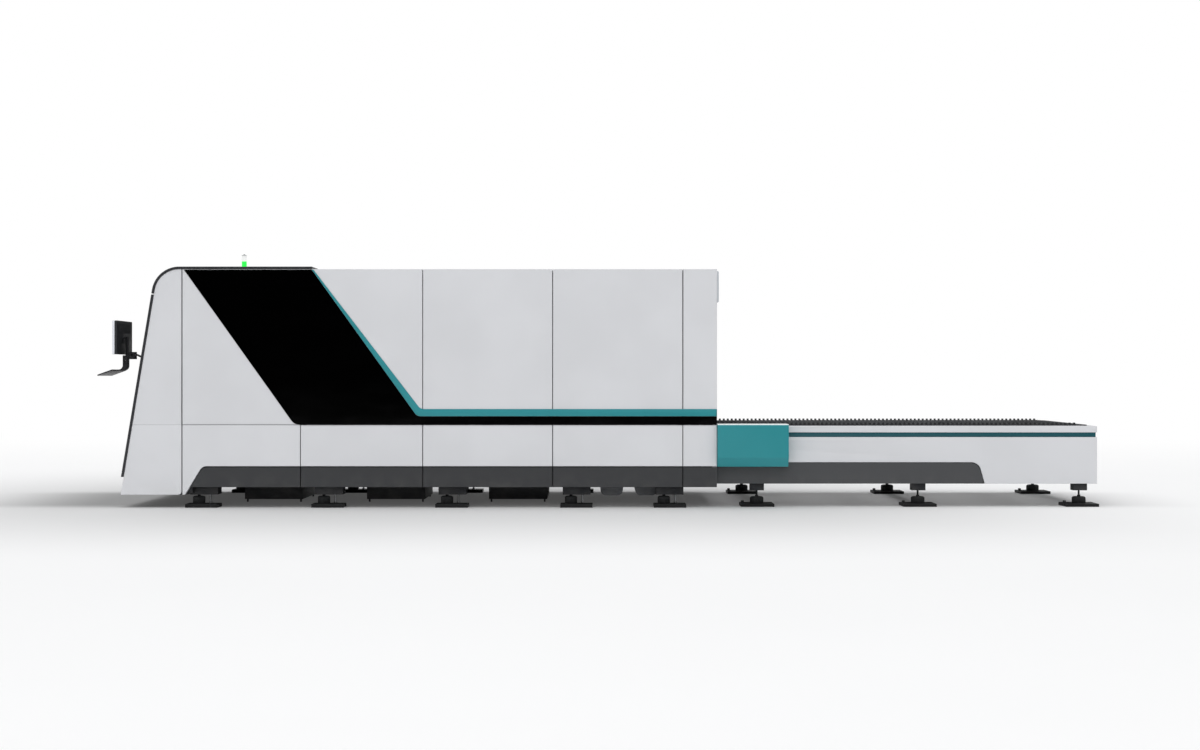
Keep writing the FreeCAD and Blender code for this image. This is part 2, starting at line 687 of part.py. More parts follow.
# ---- cabin frame ----------------------------------------------------------------------------------
POST_HIGH = f"({ROOF_UNDER} - post_depth)"
SEAM_POSTS = [station(seam, "-post_width / 2") for seam in ("seam_one", "seam_two", "seam_three",
                                                            "seam_four")]
posts = [box("post_front", GROOVE_BACK, f"-{BACK}", PAN_TOP, "post_width", "post_depth",
             f"{POST_HIGH} - {PAN_TOP}")]
posts += [box(f"post_{k}", x, f"-{BACK}", "skirt_low", "post_width", "post_depth",
              f"{POST_HIGH} - skirt_low")
          for k, x in enumerate(SEAM_POSTS + [f"{WALL_FACE} - post_width"])]
posts.append(box("top_rail", GROOVE_BACK, f"-{BACK}", POST_HIGH, f"{WALL_FACE} - {GROOVE_BACK}",
                 "post_depth",
                 "post_depth"))
hoops = [box(f"roof_beam_{k}", x, f"-{BEAM_OUTER}", POST_HIGH, "post_width", f"2 * {BEAM_OUTER}",
             "post_depth")
         for k, x in enumerate([GROOVE_BACK] + SEAM_POSTS)]


def jamb(name, near):
    """A leaning post beside the front door, notched over the upstand of the pan."""
    return prism(name, "XZ_Plane", [
        (front(PAN_TOP, PAN_DEPTH), PAN_TOP),
        (f"{front(PAN_TOP, PAN_DEPTH)} + jamb_depth", PAN_TOP),
        (f"{front(DOOR_TOP, 'front_skin')} + jamb_depth", DOOR_TOP),
        (front(DOOR_TOP, "front_skin"), DOOR_TOP),
        (front("front_low", "front_skin"), "front_low"),
        (front("front_low", PAN_DEPTH), "front_low")], near, "jamb_width")


HEADER_HIGH = f"{DOOR_TOP} + header_height"
node("cabin_frame", both_sides(posts) + hoops + [
    jamb("jamb_near", f"{DOOR_NEAR} - jamb_width"),
    jamb("jamb_far", DOOR_FAR),
    box("door_header", f"{front(HEADER_HIGH, 'front_skin')} + door_gap", f"-{BACK}", DOOR_TOP,
        "header_width",
        f"2 * {BACK}", "header_height"),
    box("nose_sill", GROOVE_BACK, "-beam_inner", PAN_TOP, "post_width", "2 * beam_inner", "post_depth")])

# ---- front door -----------------------------------------------------------------------------------
HINGE_X = f"({front(f'{DOOR_TOP} - front_gap / 2')} + trim_gap * 2)"
HINGE_Z = f"({DOOR_TOP} - front_gap / 2)"
slab = leaning("door_slab", "front_low", "front_high", "0", "front_skin", "door_near", "door_width")
WINDOW_NEAR = "(door_near + window_side)"
WINDOW_WIDTH = "(door_width - 2 * window_side)"
WINDOW_HIGH = "(window_low + window_height)"
window = box("door_window_cut", f"{front('window_low')} - front_skin", WINDOW_NEAR, "window_low",
             "window_height", WINDOW_WIDTH, "window_height")
node("front_door", [joined("door", [
    without("door_leaf", slab, [window]),
    box("door_hinge_leaf", f"{HINGE_X} - hinge_radius / 2", "door_near", "front_high",
        "hinge_radius", "door_width", "front_gap / 2"),
    rod("door_hinge", "y", HINGE_X, "door_near", HINGE_Z, "hinge_radius", "door_width", 12)])])
node("front_door_window", [leaning("door_glass", "window_low", WINDOW_HIGH, "glass_inset",
                                   "front_skin - 2 * glass_inset", WINDOW_NEAR, WINDOW_WIDTH)])
HANDLE_X = f"({front('handle_level')} - handle_reach)"
HANDLE_Y = "(door_near + door_width / 2 - handle_length / 2)"
grip = joined("handle_bar", [
    rod("handle_grip", "y", HANDLE_X, HANDLE_Y, "handle_level", "handle_radius", "handle_length"),
    rod("handle_post_near", "x", HANDLE_X, f"{HANDLE_Y} + 2 * handle_radius", "handle_level",
        "handle_radius * 0.8", "handle_reach + front_skin / 2", 8),
    rod("handle_post_far", "x", HANDLE_X, f"{HANDLE_Y} + handle_length - 2 * handle_radius",
        "handle_level",
        "handle_radius * 0.8", "handle_reach + front_skin / 2", 8)])
node("front_door_handle", [without("door_handle", grip, [
    leaning("handle_seat", "front_low", "front_high", "0", "front_skin", "door_near", "door_width")])])

# ---- exit wall, its lift door and the housing over it ---------------------------------------------
LEAF_X = {"lower": station("guide_station", "guide_wall + leaf_pitch"),
          "upper": station("guide_station", "guide_wall")}
GUIDE_NEAR = "(-leaf_half + 2 * guide_wall - guide_width)"
guide = without("door_guide",
                box("guide_block", station("guide_station"), GUIDE_NEAR, "leaf_low - guide_wall",
                    "guide_station - wall_skin", "guide_width", "leaf_height + guide_rise + guide_wall"),
                [box(f"guide_slot_{which}", f"{x} - run_gap", "-leaf_half - run_gap",
                     "leaf_low - 2 * guide_wall",
                     "leaf_skin + 2 * run_gap", "guide_width",
                     "leaf_height + guide_rise + 4 * guide_wall")
                 for which, x in LEAF_X.items()])
wall_jamb = box("wall_jamb", WALL_FACE, f"-{BACK}", "skirt_low", "wall_skin", f"{BACK} - doorway_half",
                f"{ROOF_UNDER} - skirt_low")
node("exit_wall", both_sides([wall_jamb, guide]) + [
    box("wall_lintel", WALL_FACE, "-doorway_half", "doorway_high", "wall_skin", "2 * doorway_half",
        f"{ROOF_UNDER} - doorway_high"),
    box("wall_sill", WALL_FACE, "-doorway_half", "skirt_low", "wall_skin", "2 * doorway_half",
        "doorway_low - skirt_low")])
for which, low in (("lower", "leaf_low"), ("upper", "leaf_low + leaf_height - leaf_lap")):
    node(f"lift_door_{which}", [box(f"leaf_{which}", LEAF_X[which], "-leaf_half", low, "leaf_skin",
                                    "2 * leaf_half", "leaf_height")])
node("door_head_housing", [prism("head_housing", "XZ_Plane",
                                 rectangle("exit_x", "(exit_x + housing_reach)", "housing_low",
                                           "housing_high"),
                                 "-housing_half", "2 * housing_half",
                                 [(1, "screen_round"), (2, "screen_round")])])

# ---- stack light ----------------------------------------------------------------------------------
LIGHT_X = station("light_station")
tiers = {}
level = COVER_TOP
for tier, radius, height in (("foot", "light_radius", "light_base"),
                             ("green", "light_radius - trim_gap", "light_green"),
                             ("clear", "light_radius - trim_gap", "light_clear"),
                             ("cap", "light_radius", "light_cap")):
    tiers[tier] = rod(f"light_{tier}", "z", LIGHT_X, "0", level, radius, height, 24)
    level = f"{level} + {height}"
node("stack_light_body", [tiers["foot"], tiers["cap"]])
node("stack_light_green", [tiers["green"]])
node("stack_light_clear", [tiers["clear"]])

# ---- bed ------------------------------------------------------------------------------------------
BED_FEET = ["foot_one", "foot_two", "foot_three", "foot_four", "foot_five"]
side_beam = without("bed_side_beam",
                    box("bed_beam_outside", station("bed_station"), f"-{BEAM_OUTER}", "beam_low",
                        "bed_station - wall_skin", BEAM_WIDTH, "beam_high - beam_low"),
                    [box("bed_beam_inside", f"{station('bed_station')} - beam_wall",
                         f"-{BEAM_OUTER} + beam_wall", "beam_low + beam_wall", "bed_station + beam_wall",
                         f"{BEAM_WIDTH} - 2 * beam_wall", "beam_high - beam_low - 2 * beam_wall")])
bed_legs = [box(f"bed_leg_{k}", station(foot, "-leg_length / 2"), f"-{BEAM_OUTER}", "leg_low",
                "leg_length",
                BEAM_WIDTH, "beam_low - leg_low") for k, foot in enumerate(BED_FEET)]


def cross_member(name, x, low, high):
    """A square tube across the machine, between the side beams."""
    return without(name,
                   box(f"{name}_outside", f"{x} - cross_width / 2", "-beam_inner", low, "cross_width",
                       "2 * beam_inner", f"{high} - {low}"),
                   [box(f"{name}_inside", f"{x} - cross_width / 2 + cross_wall",
                        "-beam_inner - cross_wall",
                        f"{low} + cross_wall", "cross_width - 2 * cross_wall",
                        "2 * (beam_inner + cross_wall)", f"{high} - {low} - 2 * cross_wall")])


node("bed_frame", both_sides([side_beam] + bed_legs) + [
    cross_member(f"bed_cross_{k}", station(foot), "beam_low", "cross_high")
    for k, foot in enumerate(BED_FEET)])

rail = box("gantry_rail", station("rail_station"), "-rail_axis - rail_size / 2", "beam_high",
           "rail_length",
           "rail_size", "rail_size")
node("gantry_rails", both_sides([rail]))

TRACK_TOP = "(pallet_low + axle_level - wheel_radius - run_gap)"


def track(name, x, length, drop):
    """A folded angle on the side beam's inner face, which the pallet wheels run on."""
    top = f"({TRACK_TOP} - {drop})"
    return prism(name, "YZ_Plane", [
        ("-beam_inner", f"{top} - track_web"),
        ("-beam_inner + track_foot", f"{top} - track_web"),
        ("-beam_inner + track_foot", f"{top} - track_skin"),
        ("-beam_inner + track_width", f"{top} - track_skin"),
        ("-beam_inner + track_width", top),
        ("-beam_inner", top)], x, length)


TABLE_TRACK = "(table_length - table_skin - end_beam)"
node("pallet_tracks", both_sides([
    track("bed_track_upper", station("bed_track"), "bed_track", "0"),
    track("bed_track_lower", station("bed_track"), "bed_track", "level_drop"),
    track("table_track_upper", "exit_x", TABLE_TRACK, "0"),
    track("table_track_lower", "exit_x", TABLE_TRACK, "level_drop")]))

# ---- table ----------------------------------------------------------------------------------------
TABLE_END = "(exit_x + table_length)"
END_FACE = "(exit_x + table_length - table_skin)"
CAP_LOW = "(table_high - cap_height)"
STRIPE_LOW = "(table_high - cap_height - stripe_height)"
TABLE_FEET = ["table_foot_one", "table_foot_two", "table_foot_three"]
TABLE_BEAM = "(table_half - table_skin)"
DRIVE_X = "(exit_x + drive_station)"
IDLER_X = "(exit_x + idler_station)"
table_beam = without("table_side_beam",
                     box("table_beam_outside", "exit_x", f"-{TABLE_BEAM}", "table_low",
                         "table_length - table_skin", f"{TABLE_BEAM} - beam_inner",
                         f"{CAP_LOW} - table_low"),
                     [box("table_beam_inside", "exit_x - table_wall", f"-{TABLE_BEAM} + table_wall",
                          "table_low + table_wall", "table_length + table_wall",
                          f"{TABLE_BEAM} - beam_inner - 2 * table_wall",
                          f"{CAP_LOW} - table_low - 2 * table_wall"),
                      bore("drive_bore", "y", DRIVE_X, "-beam_inner - 2 * table_wall", "shaft_level",
                           "shaft_radius + bore_play", "3 * table_wall"),
                      bore("idler_bore", "y", IDLER_X, "-beam_inner - 2 * table_wall", "shaft_level",
                           "shaft_radius + bore_play", "3 * table_wall")])
drive_beam = without("table_drive_beam", table_beam, [
    bore("drive_bore_outer", "y", DRIVE_X, "-table_half", "shaft_level", "shaft_radius + bore_play",
         "table_skin + 2 * table_wall")])
table_legs = [box(f"table_leg_{k}", f"exit_x + {foot} - table_leg / 2",
                  "-table_foot_axis - table_leg / 2",
                  "table_leg_low", "table_leg", "table_leg", "table_low - table_leg_low")
              for k, foot in enumerate(TABLE_FEET)]
node("table_frame", [drive_beam, mirrored(table_beam)] + both_sides(table_legs) + [
    cross_member(f"table_cross_{k}", f"(exit_x + {foot})", "table_low", "table_cross")
    for k, foot in enumerate(TABLE_FEET)] + [
    box("table_end_beam", f"{END_FACE} - end_beam", "-beam_inner", "table_low", "end_beam",
        "2 * beam_inner",
        f"{CAP_LOW} - table_low")])

RAKE_TOP = "(exit_x + table_rake - table_run)"
side_panel = prism("table_panel", "XZ_Plane", [
    ("exit_x", "table_skirt + panel_gap"),
    ("exit_x", STRIPE_LOW),
    (TABLE_END, STRIPE_LOW),
    (TABLE_END, "table_low"),
    ("exit_x + table_rake + panel_gap", "table_low"),
    (f"{RAKE_TOP} + panel_gap", "table_skirt + panel_gap")],
    "-table_half", "table_skin", [(5, "table_round")], ("Min", "panel_bevel"))
cap = prism("table_cap", "XZ_Plane", rectangle("exit_x", TABLE_END, CAP_LOW, "table_high"),
            "-table_half", "table_half - beam_inner", (), ("Min", "panel_bevel"))
node("table_side_panels", [
    without("table_panel_near", side_panel, [
        rod("drive_hole", "y", DRIVE_X, "-table_half", "shaft_level", "shaft_radius + gearbox_gap / 3",
            "table_half")]),
    mirrored(side_panel)] + both_sides([cap]) + [
    box("table_end_cap", f"{TABLE_END} - cap_end", "-beam_inner", CAP_LOW, "cap_end", "2 * beam_inner",
        "cap_height"),
    box("table_end_panel", END_FACE, f"-{TABLE_BEAM}", "table_low", "table_skin", f"2 * {TABLE_BEAM}",
        f"{STRIPE_LOW} - table_low")])

strip = box("table_strip", "exit_x", "-table_half + stripe_inset", STRIPE_LOW,
            "table_length - stripe_inset",
            "table_skin - stripe_inset", "stripe_height")
node("teal_trims", both_sides([teal, strip]) + [
    box("table_end_strip", END_FACE, f"-{TABLE_BEAM}", STRIPE_LOW, "table_skin - stripe_inset",
        f"2 * {TABLE_BEAM}", "stripe_height")])

table_skirt = prism("table_skirt_panel", "XZ_Plane", [
    ("exit_x", "table_low"),
    ("exit_x", "table_skirt"),
    (RAKE_TOP, "table_skirt"),
    ("exit_x + table_rake", "table_low")],
    "-table_half", "table_skin", [(2, "table_round")], ("Min", "panel_bevel"))
node("skirt_panels", both_sides(skirts + [table_skirt]))

# ---- feet -----------------------------------------------------------------------------------------
BED_PAD_Y = "-cabin_width / 2"
JACK_Y = f"(-{BEAM_OUTER})"
JACK_TOP = "(leg_low - jack_neck)"


def jack(name, x, near, width, half, low, top, screw, reach):
    """A wedge jack: a block with bevelled shoulders, and the screw that lifts the leg block."""
    block = prism(f"{name}_block", "XZ_Plane", [
        (f"{x} - {half}", low),
        (f"{x} + {half}", low),
        (f"{x} + {half}", f"{top} - jack_crown"),
        (f"{x} + {half} - jack_crown", top),
        (f"{x} - {half} + jack_crown", top),
        (f"{x} - {half}", f"{top} - jack_crown")], near, width)
    bolt = rod(f"{name}_screw", "z", x, f"{near} + {width} / 2", top, screw, reach, 6)
    return [block, bolt]


pads, jacks, anchors = [], [], []
for k, foot in enumerate(BED_FEET):
    pads.append(box(f"bed_pad_{k}", station(foot, "-pad_length / 2"), BED_PAD_Y, "0", "pad_length",
                    "pad_width",
                    "pad_height"))
    jacks += jack(f"bed_jack_{k}", station(foot, "-jack_offset"), JACK_Y, "jack_width", "jack_length / 2",
                  "pad_height", JACK_TOP, "jack_screw", "jack_neck")
    bolt_x = station(foot, "anchor_offset")
    bolt_y = f"({JACK_Y} + jack_width / 2)"
    anchors.append(joined(f"anchor_{k}", [
        rod(f"anchor_bolt_{k}", "z", bolt_x, bolt_y, "pad_height", "anchor_radius",
            "leg_low - pad_height", 8),
        rod(f"anchor_nut_{k}", "z", bolt_x, bolt_y, "pad_height", "nut_radius", "nut_height", 6)]))
for k, foot in enumerate(TABLE_FEET):
    x = f"(exit_x + {foot})"
    pads.append(box(f"table_pad_{k}", f"{x} - table_pad / 2", "-table_foot_axis - table_pad / 2", "0",
                    "table_pad",
                    "table_pad", "table_pad_height"))
    near = "(-table_foot_axis - table_leg / 2)"
    jacks += jack(f"table_jack_{k}", x, near, "table_leg", "table_leg / 2", "table_pad_height",
                  "table_jack",
                  "anchor_radius", "table_leg_low - table_jack")
node("foot_pads", both_sides(pads))
node("levelling_jacks", both_sides(jacks))
node("anchor_bolts", both_sides(anchors))

# ---- gantry, cross carriage and cutting head ------------------------------------------------------
GANTRY_X = station("gantry_station")
GANTRY_HALF = "(rail_axis + truck_width / 2)"
GANTRY_FACE = f"({GANTRY_X} + gantry_depth / 2)"
CARRIAGE_X = f"({GANTRY_FACE} + way_size + run_gap)"
SLIDE_X = f"({CARRIAGE_X} + carriage_skin + run_gap)"
beam = without("gantry_box",
               box("gantry_outside", f"{GANTRY_X} - gantry_depth / 2", f"-{GANTRY_HALF}", "gantry_low",
                   "gantry_depth", f"2 * {GANTRY_HALF}", "gantry_height"),
               [box("gantry_inside", f"{GANTRY_X} - gantry_depth / 2 + gantry_wall",
                    f"-{GANTRY_HALF} - gantry_wall",
                    "gantry_low + gantry_wall", "gantry_depth - 2 * gantry_wall",
                    f"2 * ({GANTRY_HALF} + gantry_wall)", "gantry_height - 2 * gantry_wall")])
ways = [box(f"way_{z}", GANTRY_FACE, f"-{GANTRY_HALF}", z, "way_size", f"2 * {GANTRY_HALF}", "way_size")
        for z in ("way_low", "way_high")]
truck = without("gantry_truck",
                box("truck_block", f"{GANTRY_X} - truck_length / 2", f"-{GANTRY_HALF}",
                    "beam_high + truck_lift",
                    "truck_length", "truck_width", "gantry_low - beam_high - truck_lift"),
                [box("truck_slot", f"{GANTRY_X} - truck_length", "-rail_axis - rail_size / 2 - run_gap",
                     "beam_high",
                     "2 * truck_length", "rail_size + 2 * run_gap", "rail_size + run_gap")])
node("gantry_beam", [joined("gantry", [beam] + ways)] + both_sides([truck]))

node("cross_carriage", [box("carriage_plate", CARRIAGE_X, "-carriage_width / 2", "way_low - way_size / 2",
                            "carriage_skin", "carriage_width", "way_high - way_low + 2 * way_size")])


BARREL_X = f"({SLIDE_X} + head_reach)"
NOZZLE_TOP = "(nozzle_tip + nozzle_height)"
node("cutting_head", [joined("head", [
    box("head_slide", SLIDE_X, "-head_radius", "head_low", "head_plate", "2 * head_radius",
        "head_high - head_low"),
    box("head_bracket", f"{SLIDE_X} + head_plate", "-head_plate", "head_low + 3 * head_plate",
        "head_reach - head_plate", "2 * head_plate", "3 * head_plate"),
    turned("head_barrel", BARREL_X, "0", NOZZLE_TOP, [
        ("head_radius * 0.4", "head_plate"),
        ("head_radius * 0.7", "head_plate"),
        ("head_radius", f"head_high - 3 * head_plate - {NOZZLE_TOP}")])])])
node("cutting_nozzle", [turned("nozzle", BARREL_X, "0", "nozzle_tip", [
    ("head_radius * 0.12", "nozzle_height / 3"),
    ("head_radius * 0.25", "nozzle_height / 3"),
    ("head_radius * 0.34", "nozzle_height / 3")])])

# ---- shuttle pallets ------------------------------------------------------------------------------
SLAT_SPAN = "((slat_count - 1) * slat_pitch)"
TIES = 6


def row_along(body, feature, name):
    """Repeat a feature along the machine, once for each slat."""
    pattern = body.newObject("PartDesign::LinearPattern", name)
    pattern.Originals = [feature]
    pattern.Direction = (origin_part(body, "X_Axis"), [""])
    pattern.setExpression("Length", bind(SLAT_SPAN))
    pattern.setExpression("Occurrences", bind("slat_count"))
    body.Tip = pattern
    doc.recompute()
    return body


def pallet(tag, shift, drop):
    """A shuttle pallet: side rails, ends, ties and bearers, with notched ledgers that hold the slats."""
    start = f"(exit_x - pallet_start - {shift})"
    low = f"(pallet_low - {drop})"
    first = f"(exit_x + slat_start - {shift})"
    inner = "(pallet_half - pallet_rail)"
    axles = {"inner": f"({start} + axle_inset)", "outer": f"({start} + pallet_length - axle_outset)"}
    axle_z = f"({low} + axle_level)"
    comb = prism(f"pallet_{tag}_comb", "XZ_Plane",
                 rectangle(f"{first} - 2 * slat_skin", f"{first} + {SLAT_SPAN} + 2 * slat_skin", low,
                           f"{low} + comb_height"),
                 "-comb_skin / 2", "comb_skin")
    plain_volume = comb.Shape.Volume
    sketch = outline(comb, f"pallet_{tag}_notch_outline", "XZ_Plane",
                     rectangle(f"{first} - slat_skin / 2 - notch_play",
                               f"{first} + slat_skin / 2 + notch_play",
                               f"{low} + slat_seat", f"{low} + comb_height + slat_skin"),
                     "-comb_skin")
    notch = comb.newObject("PartDesign::Pocket", f"pallet_{tag}_notch")
    notch.Profile = sketch
    notch.Type = "ThroughAll"
    notch.Reversed = True
    doc.recompute()
    row_along(comb, notch, f"pallet_{tag}_notches")
    if comb.Shape.Volume > plain_volume * 0.97:
        raise ValueError(f"pallet_{tag}: the comb has no notches")
    rail_box = without(f"pallet_{tag}_rail",
                       box(f"pallet_{tag}_rail_block", start, "-pallet_half", low, "pallet_length",
                           "pallet_rail",
                           "pallet_high - pallet_low"),
                       [box(f"pallet_{tag}_axle_slot_{end}", f"{x} - axle_radius - bore_play",
                            "-pallet_half",
                            f"{low} - tie_height", "2 * (axle_radius + bore_play)", "pallet_half",
                            "tie_height + axle_level + axle_radius + bore_play")
                        for end, x in axles.items()])
    sides = both_sides([rail_box,
                        box(f"pallet_{tag}_ledger", f"{start} + bearer_width", f"-{inner}", low,
                            "pallet_length - 2 * bearer_width", "ledger_width", "slat_seat")]) + [comb]
    ends = [box(f"pallet_{tag}_end_{k}", x, f"-{inner}", low, "bearer_width", f"2 * {inner}",
                "pallet_high - pallet_low - step_plate")
            for k, x in enumerate((start, f"{start} + pallet_length - bearer_width"))]
    ties = [box(f"pallet_{tag}_tie_{k}", f"{start} + {k} / {TIES - 1} * (pallet_length - tie_width)",
                "-pallet_half",
                f"{low} - tie_height", "tie_width", "2 * pallet_half", "tie_height") for k in range(TIES)]
    step = box(f"pallet_{tag}_step", f"{start} + pallet_length - step_length", f"-{inner}",
               f"{low} + pallet_high - pallet_low - step_plate", "step_length", f"2 * {inner}",
               "step_plate")
    node(f"pallet_{tag}_frame", [joined(f"pallet_{tag}", sides + ends + ties + [step])])

    slats = prism(f"pallet_{tag}_slat", "YZ_Plane",
                  rectangle(f"-{inner} + slat_play", f"{inner} - slat_play", f"{low} + slat_seat",
                            f"{low} + slat_seat + slat_height"),
                  f"{first} - slat_skin / 2", "slat_skin")
    node(f"pallet_{tag}_slats", [row_along(slats, slats.Tip, f"pallet_{tag}_slat_row")])

    tread = "(beam_inner - track_width / 2 + wheel_width / 2 - 5)"
    for end, x in axles.items():
        node(f"pallet_{tag}_axle_{end}", [joined(f"pallet_{tag}_wheels_{end}", [
            rod(f"pallet_{tag}_shaft_{end}", "y", x, f"-{tread}", axle_z, "axle_radius", f"2 * {tread}",
                12)] + [
            rod(f"pallet_{tag}_wheel_{end}_{side}", "y", x, y, axle_z, "wheel_radius", "wheel_width")
            for side, y in (("near", f"-{tread}"), ("far", f"{tread} - wheel_width"))])])


pallet("a", "0", "0")
pallet("b", "travel", "level_drop")

# ---- pallet drive ---------------------------------------------------------------------------------


def sprocket_shaft(name, x, near, length):
    wheels = [rod(f"{name}_sprocket_{side}", "y", x, y, "shaft_level",
                  "sprocket_radius", "sprocket_width")
              for side, y in (("near", "-sprocket_axis - sprocket_width / 2"),
                              ("far", "sprocket_axis - sprocket_width / 2"))]
    bar = rod(f"{name}_bar", "y", x, near, "shaft_level", "shaft_radius", length)
    return joined(name, [bar] + wheels)


MOTOR_FACE = "(-table_half - gearbox_gap)"
SHAFT_NEAR = f"({MOTOR_FACE} - gearbox_width / 2)"
node("drive_shaft", [sprocket_shaft("drive_shaft_turning", DRIVE_X, SHAFT_NEAR,
                                    f"shaft_end - {SHAFT_NEAR}")])
node("idler_shaft", [sprocket_shaft("idler_shaft_turning", IDLER_X, "-shaft_end", "2 * shaft_end")])


def loop(name, radius):
    """The stadium round both sprockets, filled in."""
    near = "-sprocket_axis - sprocket_width / 2"
    reach = f"({radius}) * {1 / math.cos(math.pi / SIDES)}"
    return joined(name, [
        rod(f"{name}_drive", "y", DRIVE_X, near, "shaft_level", reach, "sprocket_width"),
        rod(f"{name}_idler", "y", IDLER_X, near, "shaft_level", reach, "sprocket_width"),
        box(f"{name}_runs", DRIVE_X, near, f"shaft_level - {reach}", f"{IDLER_X} - {DRIVE_X}",
            "sprocket_width",
            f"2 * {reach}")])


node("drive_chains", both_sides([without("chain",
                                         loop("chain_outside", "sprocket_radius + run_gap + chain_skin"),
                                         [loop("chain_inside", "sprocket_radius + run_gap")])]))

gearbox = without("gearbox",
                  joined("gearbox_block", [
                      box("gearbox_case", f"{DRIVE_X} - gearbox_size / 2",
                          f"{MOTOR_FACE} - gearbox_width",
                          "shaft_level - gearbox_size / 2", "gearbox_size", "gearbox_width",
                          "gearbox_size"),
                      rod("gearbox_flange", "y", DRIVE_X, MOTOR_FACE, "shaft_level", "gearbox_size * 0.4",
                          "gearbox_gap"),
                      rod("motor", "x", f"{DRIVE_X} + gearbox_size / 2",
                          f"{MOTOR_FACE} - gearbox_width / 2",
                          "shaft_level", "motor_radius", "motor_length")]),
                  [bore("gearbox_bore", "y", DRIVE_X, f"{SHAFT_NEAR} - bore_play", "shaft_level",
                        "shaft_radius + bore_play", "gearbox_width")])
node("drive_motor", [gearbox])


def cover_profile(name, wall, start, length):
    """The drive cover's section, wall inside its outer face, with the turned-in foot."""
    face = f"(-table_half - cover_reach + {wall})"
    return prism(name, "YZ_Plane", [
        ("-table_half", f"cover_low + {wall}"),
        ("-table_half", f"cover_high - {wall}"),
        (face, f"cover_high - {wall}"),
        (face, f"cover_break + {wall} / 2"),
        (f"{face} + cover_turn", f"cover_low + {wall}")], start, length,
        [(2, f"cover_round - {wall}"), (3, f"cover_round - {wall}"), (4, f"cover_round - {wall}")])


COVER_X = "(exit_x + cover_start)"
node("drive_cover", [without("cover", cover_profile("cover_outside", "0", COVER_X, "cover_length"),
                             [cover_profile("cover_inside", "cover_wall", f"{COVER_X} + cover_wall",
                                            "cover_length - 2 * cover_wall")])])

# ---- dust troughs ---------------------------------------------------------------------------------


def trough(name, x, wall):
    return prism(name, "XZ_Plane", [
        (f"{x} - duct_width / 2 + {wall}", "duct_high"),
        (f"{x} - duct_width / 2 + duct_taper + {wall}", f"duct_low + {wall}"),
        (f"{x} + duct_width / 2 - duct_taper - {wall}", f"duct_low + {wall}"),
        (f"{x} + duct_width / 2 - {wall}", "duct_high")],
        f"-beam_inner + {wall}", f"2 * (beam_inner - {wall})",
        [(1, f"duct_round - {wall}"), (2, f"duct_round - {wall}")])


node("extraction_ducts", [without(f"duct_{k}", trough(f"duct_outside_{k}", station(size), "0"),
                                  [trough(f"duct_inside_{k}", station(size), "duct_wall")])
                          for k, size in enumerate(("duct_one", "duct_two"))])

# ---- scrap carts ----------------------------------------------------------------------------------
CARTS = 3


def cart(name, x):
    """A low open tub that rolls out between the feet; its four wheels turn about the machine's length."""
    left = f"({x} - cart_length / 2)"
    tub = without(f"{name}_tub",
                  box(f"{name}_outside", left, "-cart_half", "cart_low", "cart_length", "2 * cart_half",
                      "cart_high - cart_low"),
                  [box(f"{name}_inside", f"{left} + cart_wall", "-cart_half + cart_wall",
                       "cart_low + cart_wall",
                       "cart_length - 2 * cart_wall", "2 * (cart_half - cart_wall)",
                       "cart_high - cart_low")])
    wheels = [rod(f"{name}_wheel_{side}_{end}", "x", wheel_x, y, "cart_wheel + run_gap", "cart_wheel",
                  "cart_tread", 10)
              for side, wheel_x in (("front", f"{left} + cart_tread"),
                                    ("back", f"{left} + cart_length - 2 * cart_tread"))
              for end, y in (("near", "-cart_half + 2 * cart_wheel"),
                             ("far", "cart_half - 2 * cart_wheel"))]
    grip_x = f"({x} - cart_length / 8)"
    grip_y = "(-cart_half - 2 * cart_wheel)"
    handle = [box(f"{name}_grip", grip_x, grip_y, "cart_high - 2 * cart_wheel", "cart_length / 4",
                  "2 * cart_wall",
                  "3 * cart_wall")]
    handle += [box(f"{name}_grip_post_{k}", post_x, grip_y, "cart_high - 2 * cart_wheel", "2 * cart_wall",
                   "2 * cart_wheel + cart_wall", "3 * cart_wall")
               for k, post_x in enumerate((grip_x, f"{grip_x} + cart_length / 4 - 2 * cart_wall"))]
    return joined(name, [tub] + wheels + handle)


for k in range(CARTS):
    label = f"scrap_cart_{k + 1}"
    node(label, [cart(f"cart_{k + 1}", f"(exit_x - cart_one + {k} * cart_pitch)")])

# ---- operator's console ---------------------------------------------------------------------------
PIVOT_X = f"({front('bracket_level')} - pivot_reach)"
ELBOW_X = f"({PIVOT_X} - arm_length)"
NECK_X = f"({ELBOW_X} - neck_reach)"
ARM_TOP = "(bracket_level + arm_height)"
PIVOT_LEVEL = "(bracket_level - arm_drop)"
LUG_LOW = f"({PIVOT_LEVEL} - run_gap - lug_height)"
node("console_bracket", [joined("bracket", [
    leaning("bracket_plate", f"({PIVOT_LEVEL} - bracket_height / 2)",
            f"({PIVOT_LEVEL} + bracket_height / 2)", "-bracket_skin", "bracket_skin",
            "console_axis - 2 * boss_radius", "4 * boss_radius"),
    box("bracket_lug", PIVOT_X, "console_axis - boss_radius", LUG_LOW,
        f"{front(f'{PIVOT_LEVEL} - 2 * lug_height')} - {PIVOT_X}", "2 * boss_radius", "lug_height"),
    rod("bracket_boss", "z", PIVOT_X, "console_axis", LUG_LOW, "boss_radius", "lug_height"),
    rod("bracket_pin", "z", PIVOT_X, "console_axis", LUG_LOW, "pin_radius",
        "lug_height + arm_height + 2 * run_gap + trim_skin"),
    rod("bracket_pin_head", "z", PIVOT_X, "console_axis", f"{PIVOT_LEVEL} + arm_height + run_gap",
        "pin_radius * 1.6", "trim_skin")])])

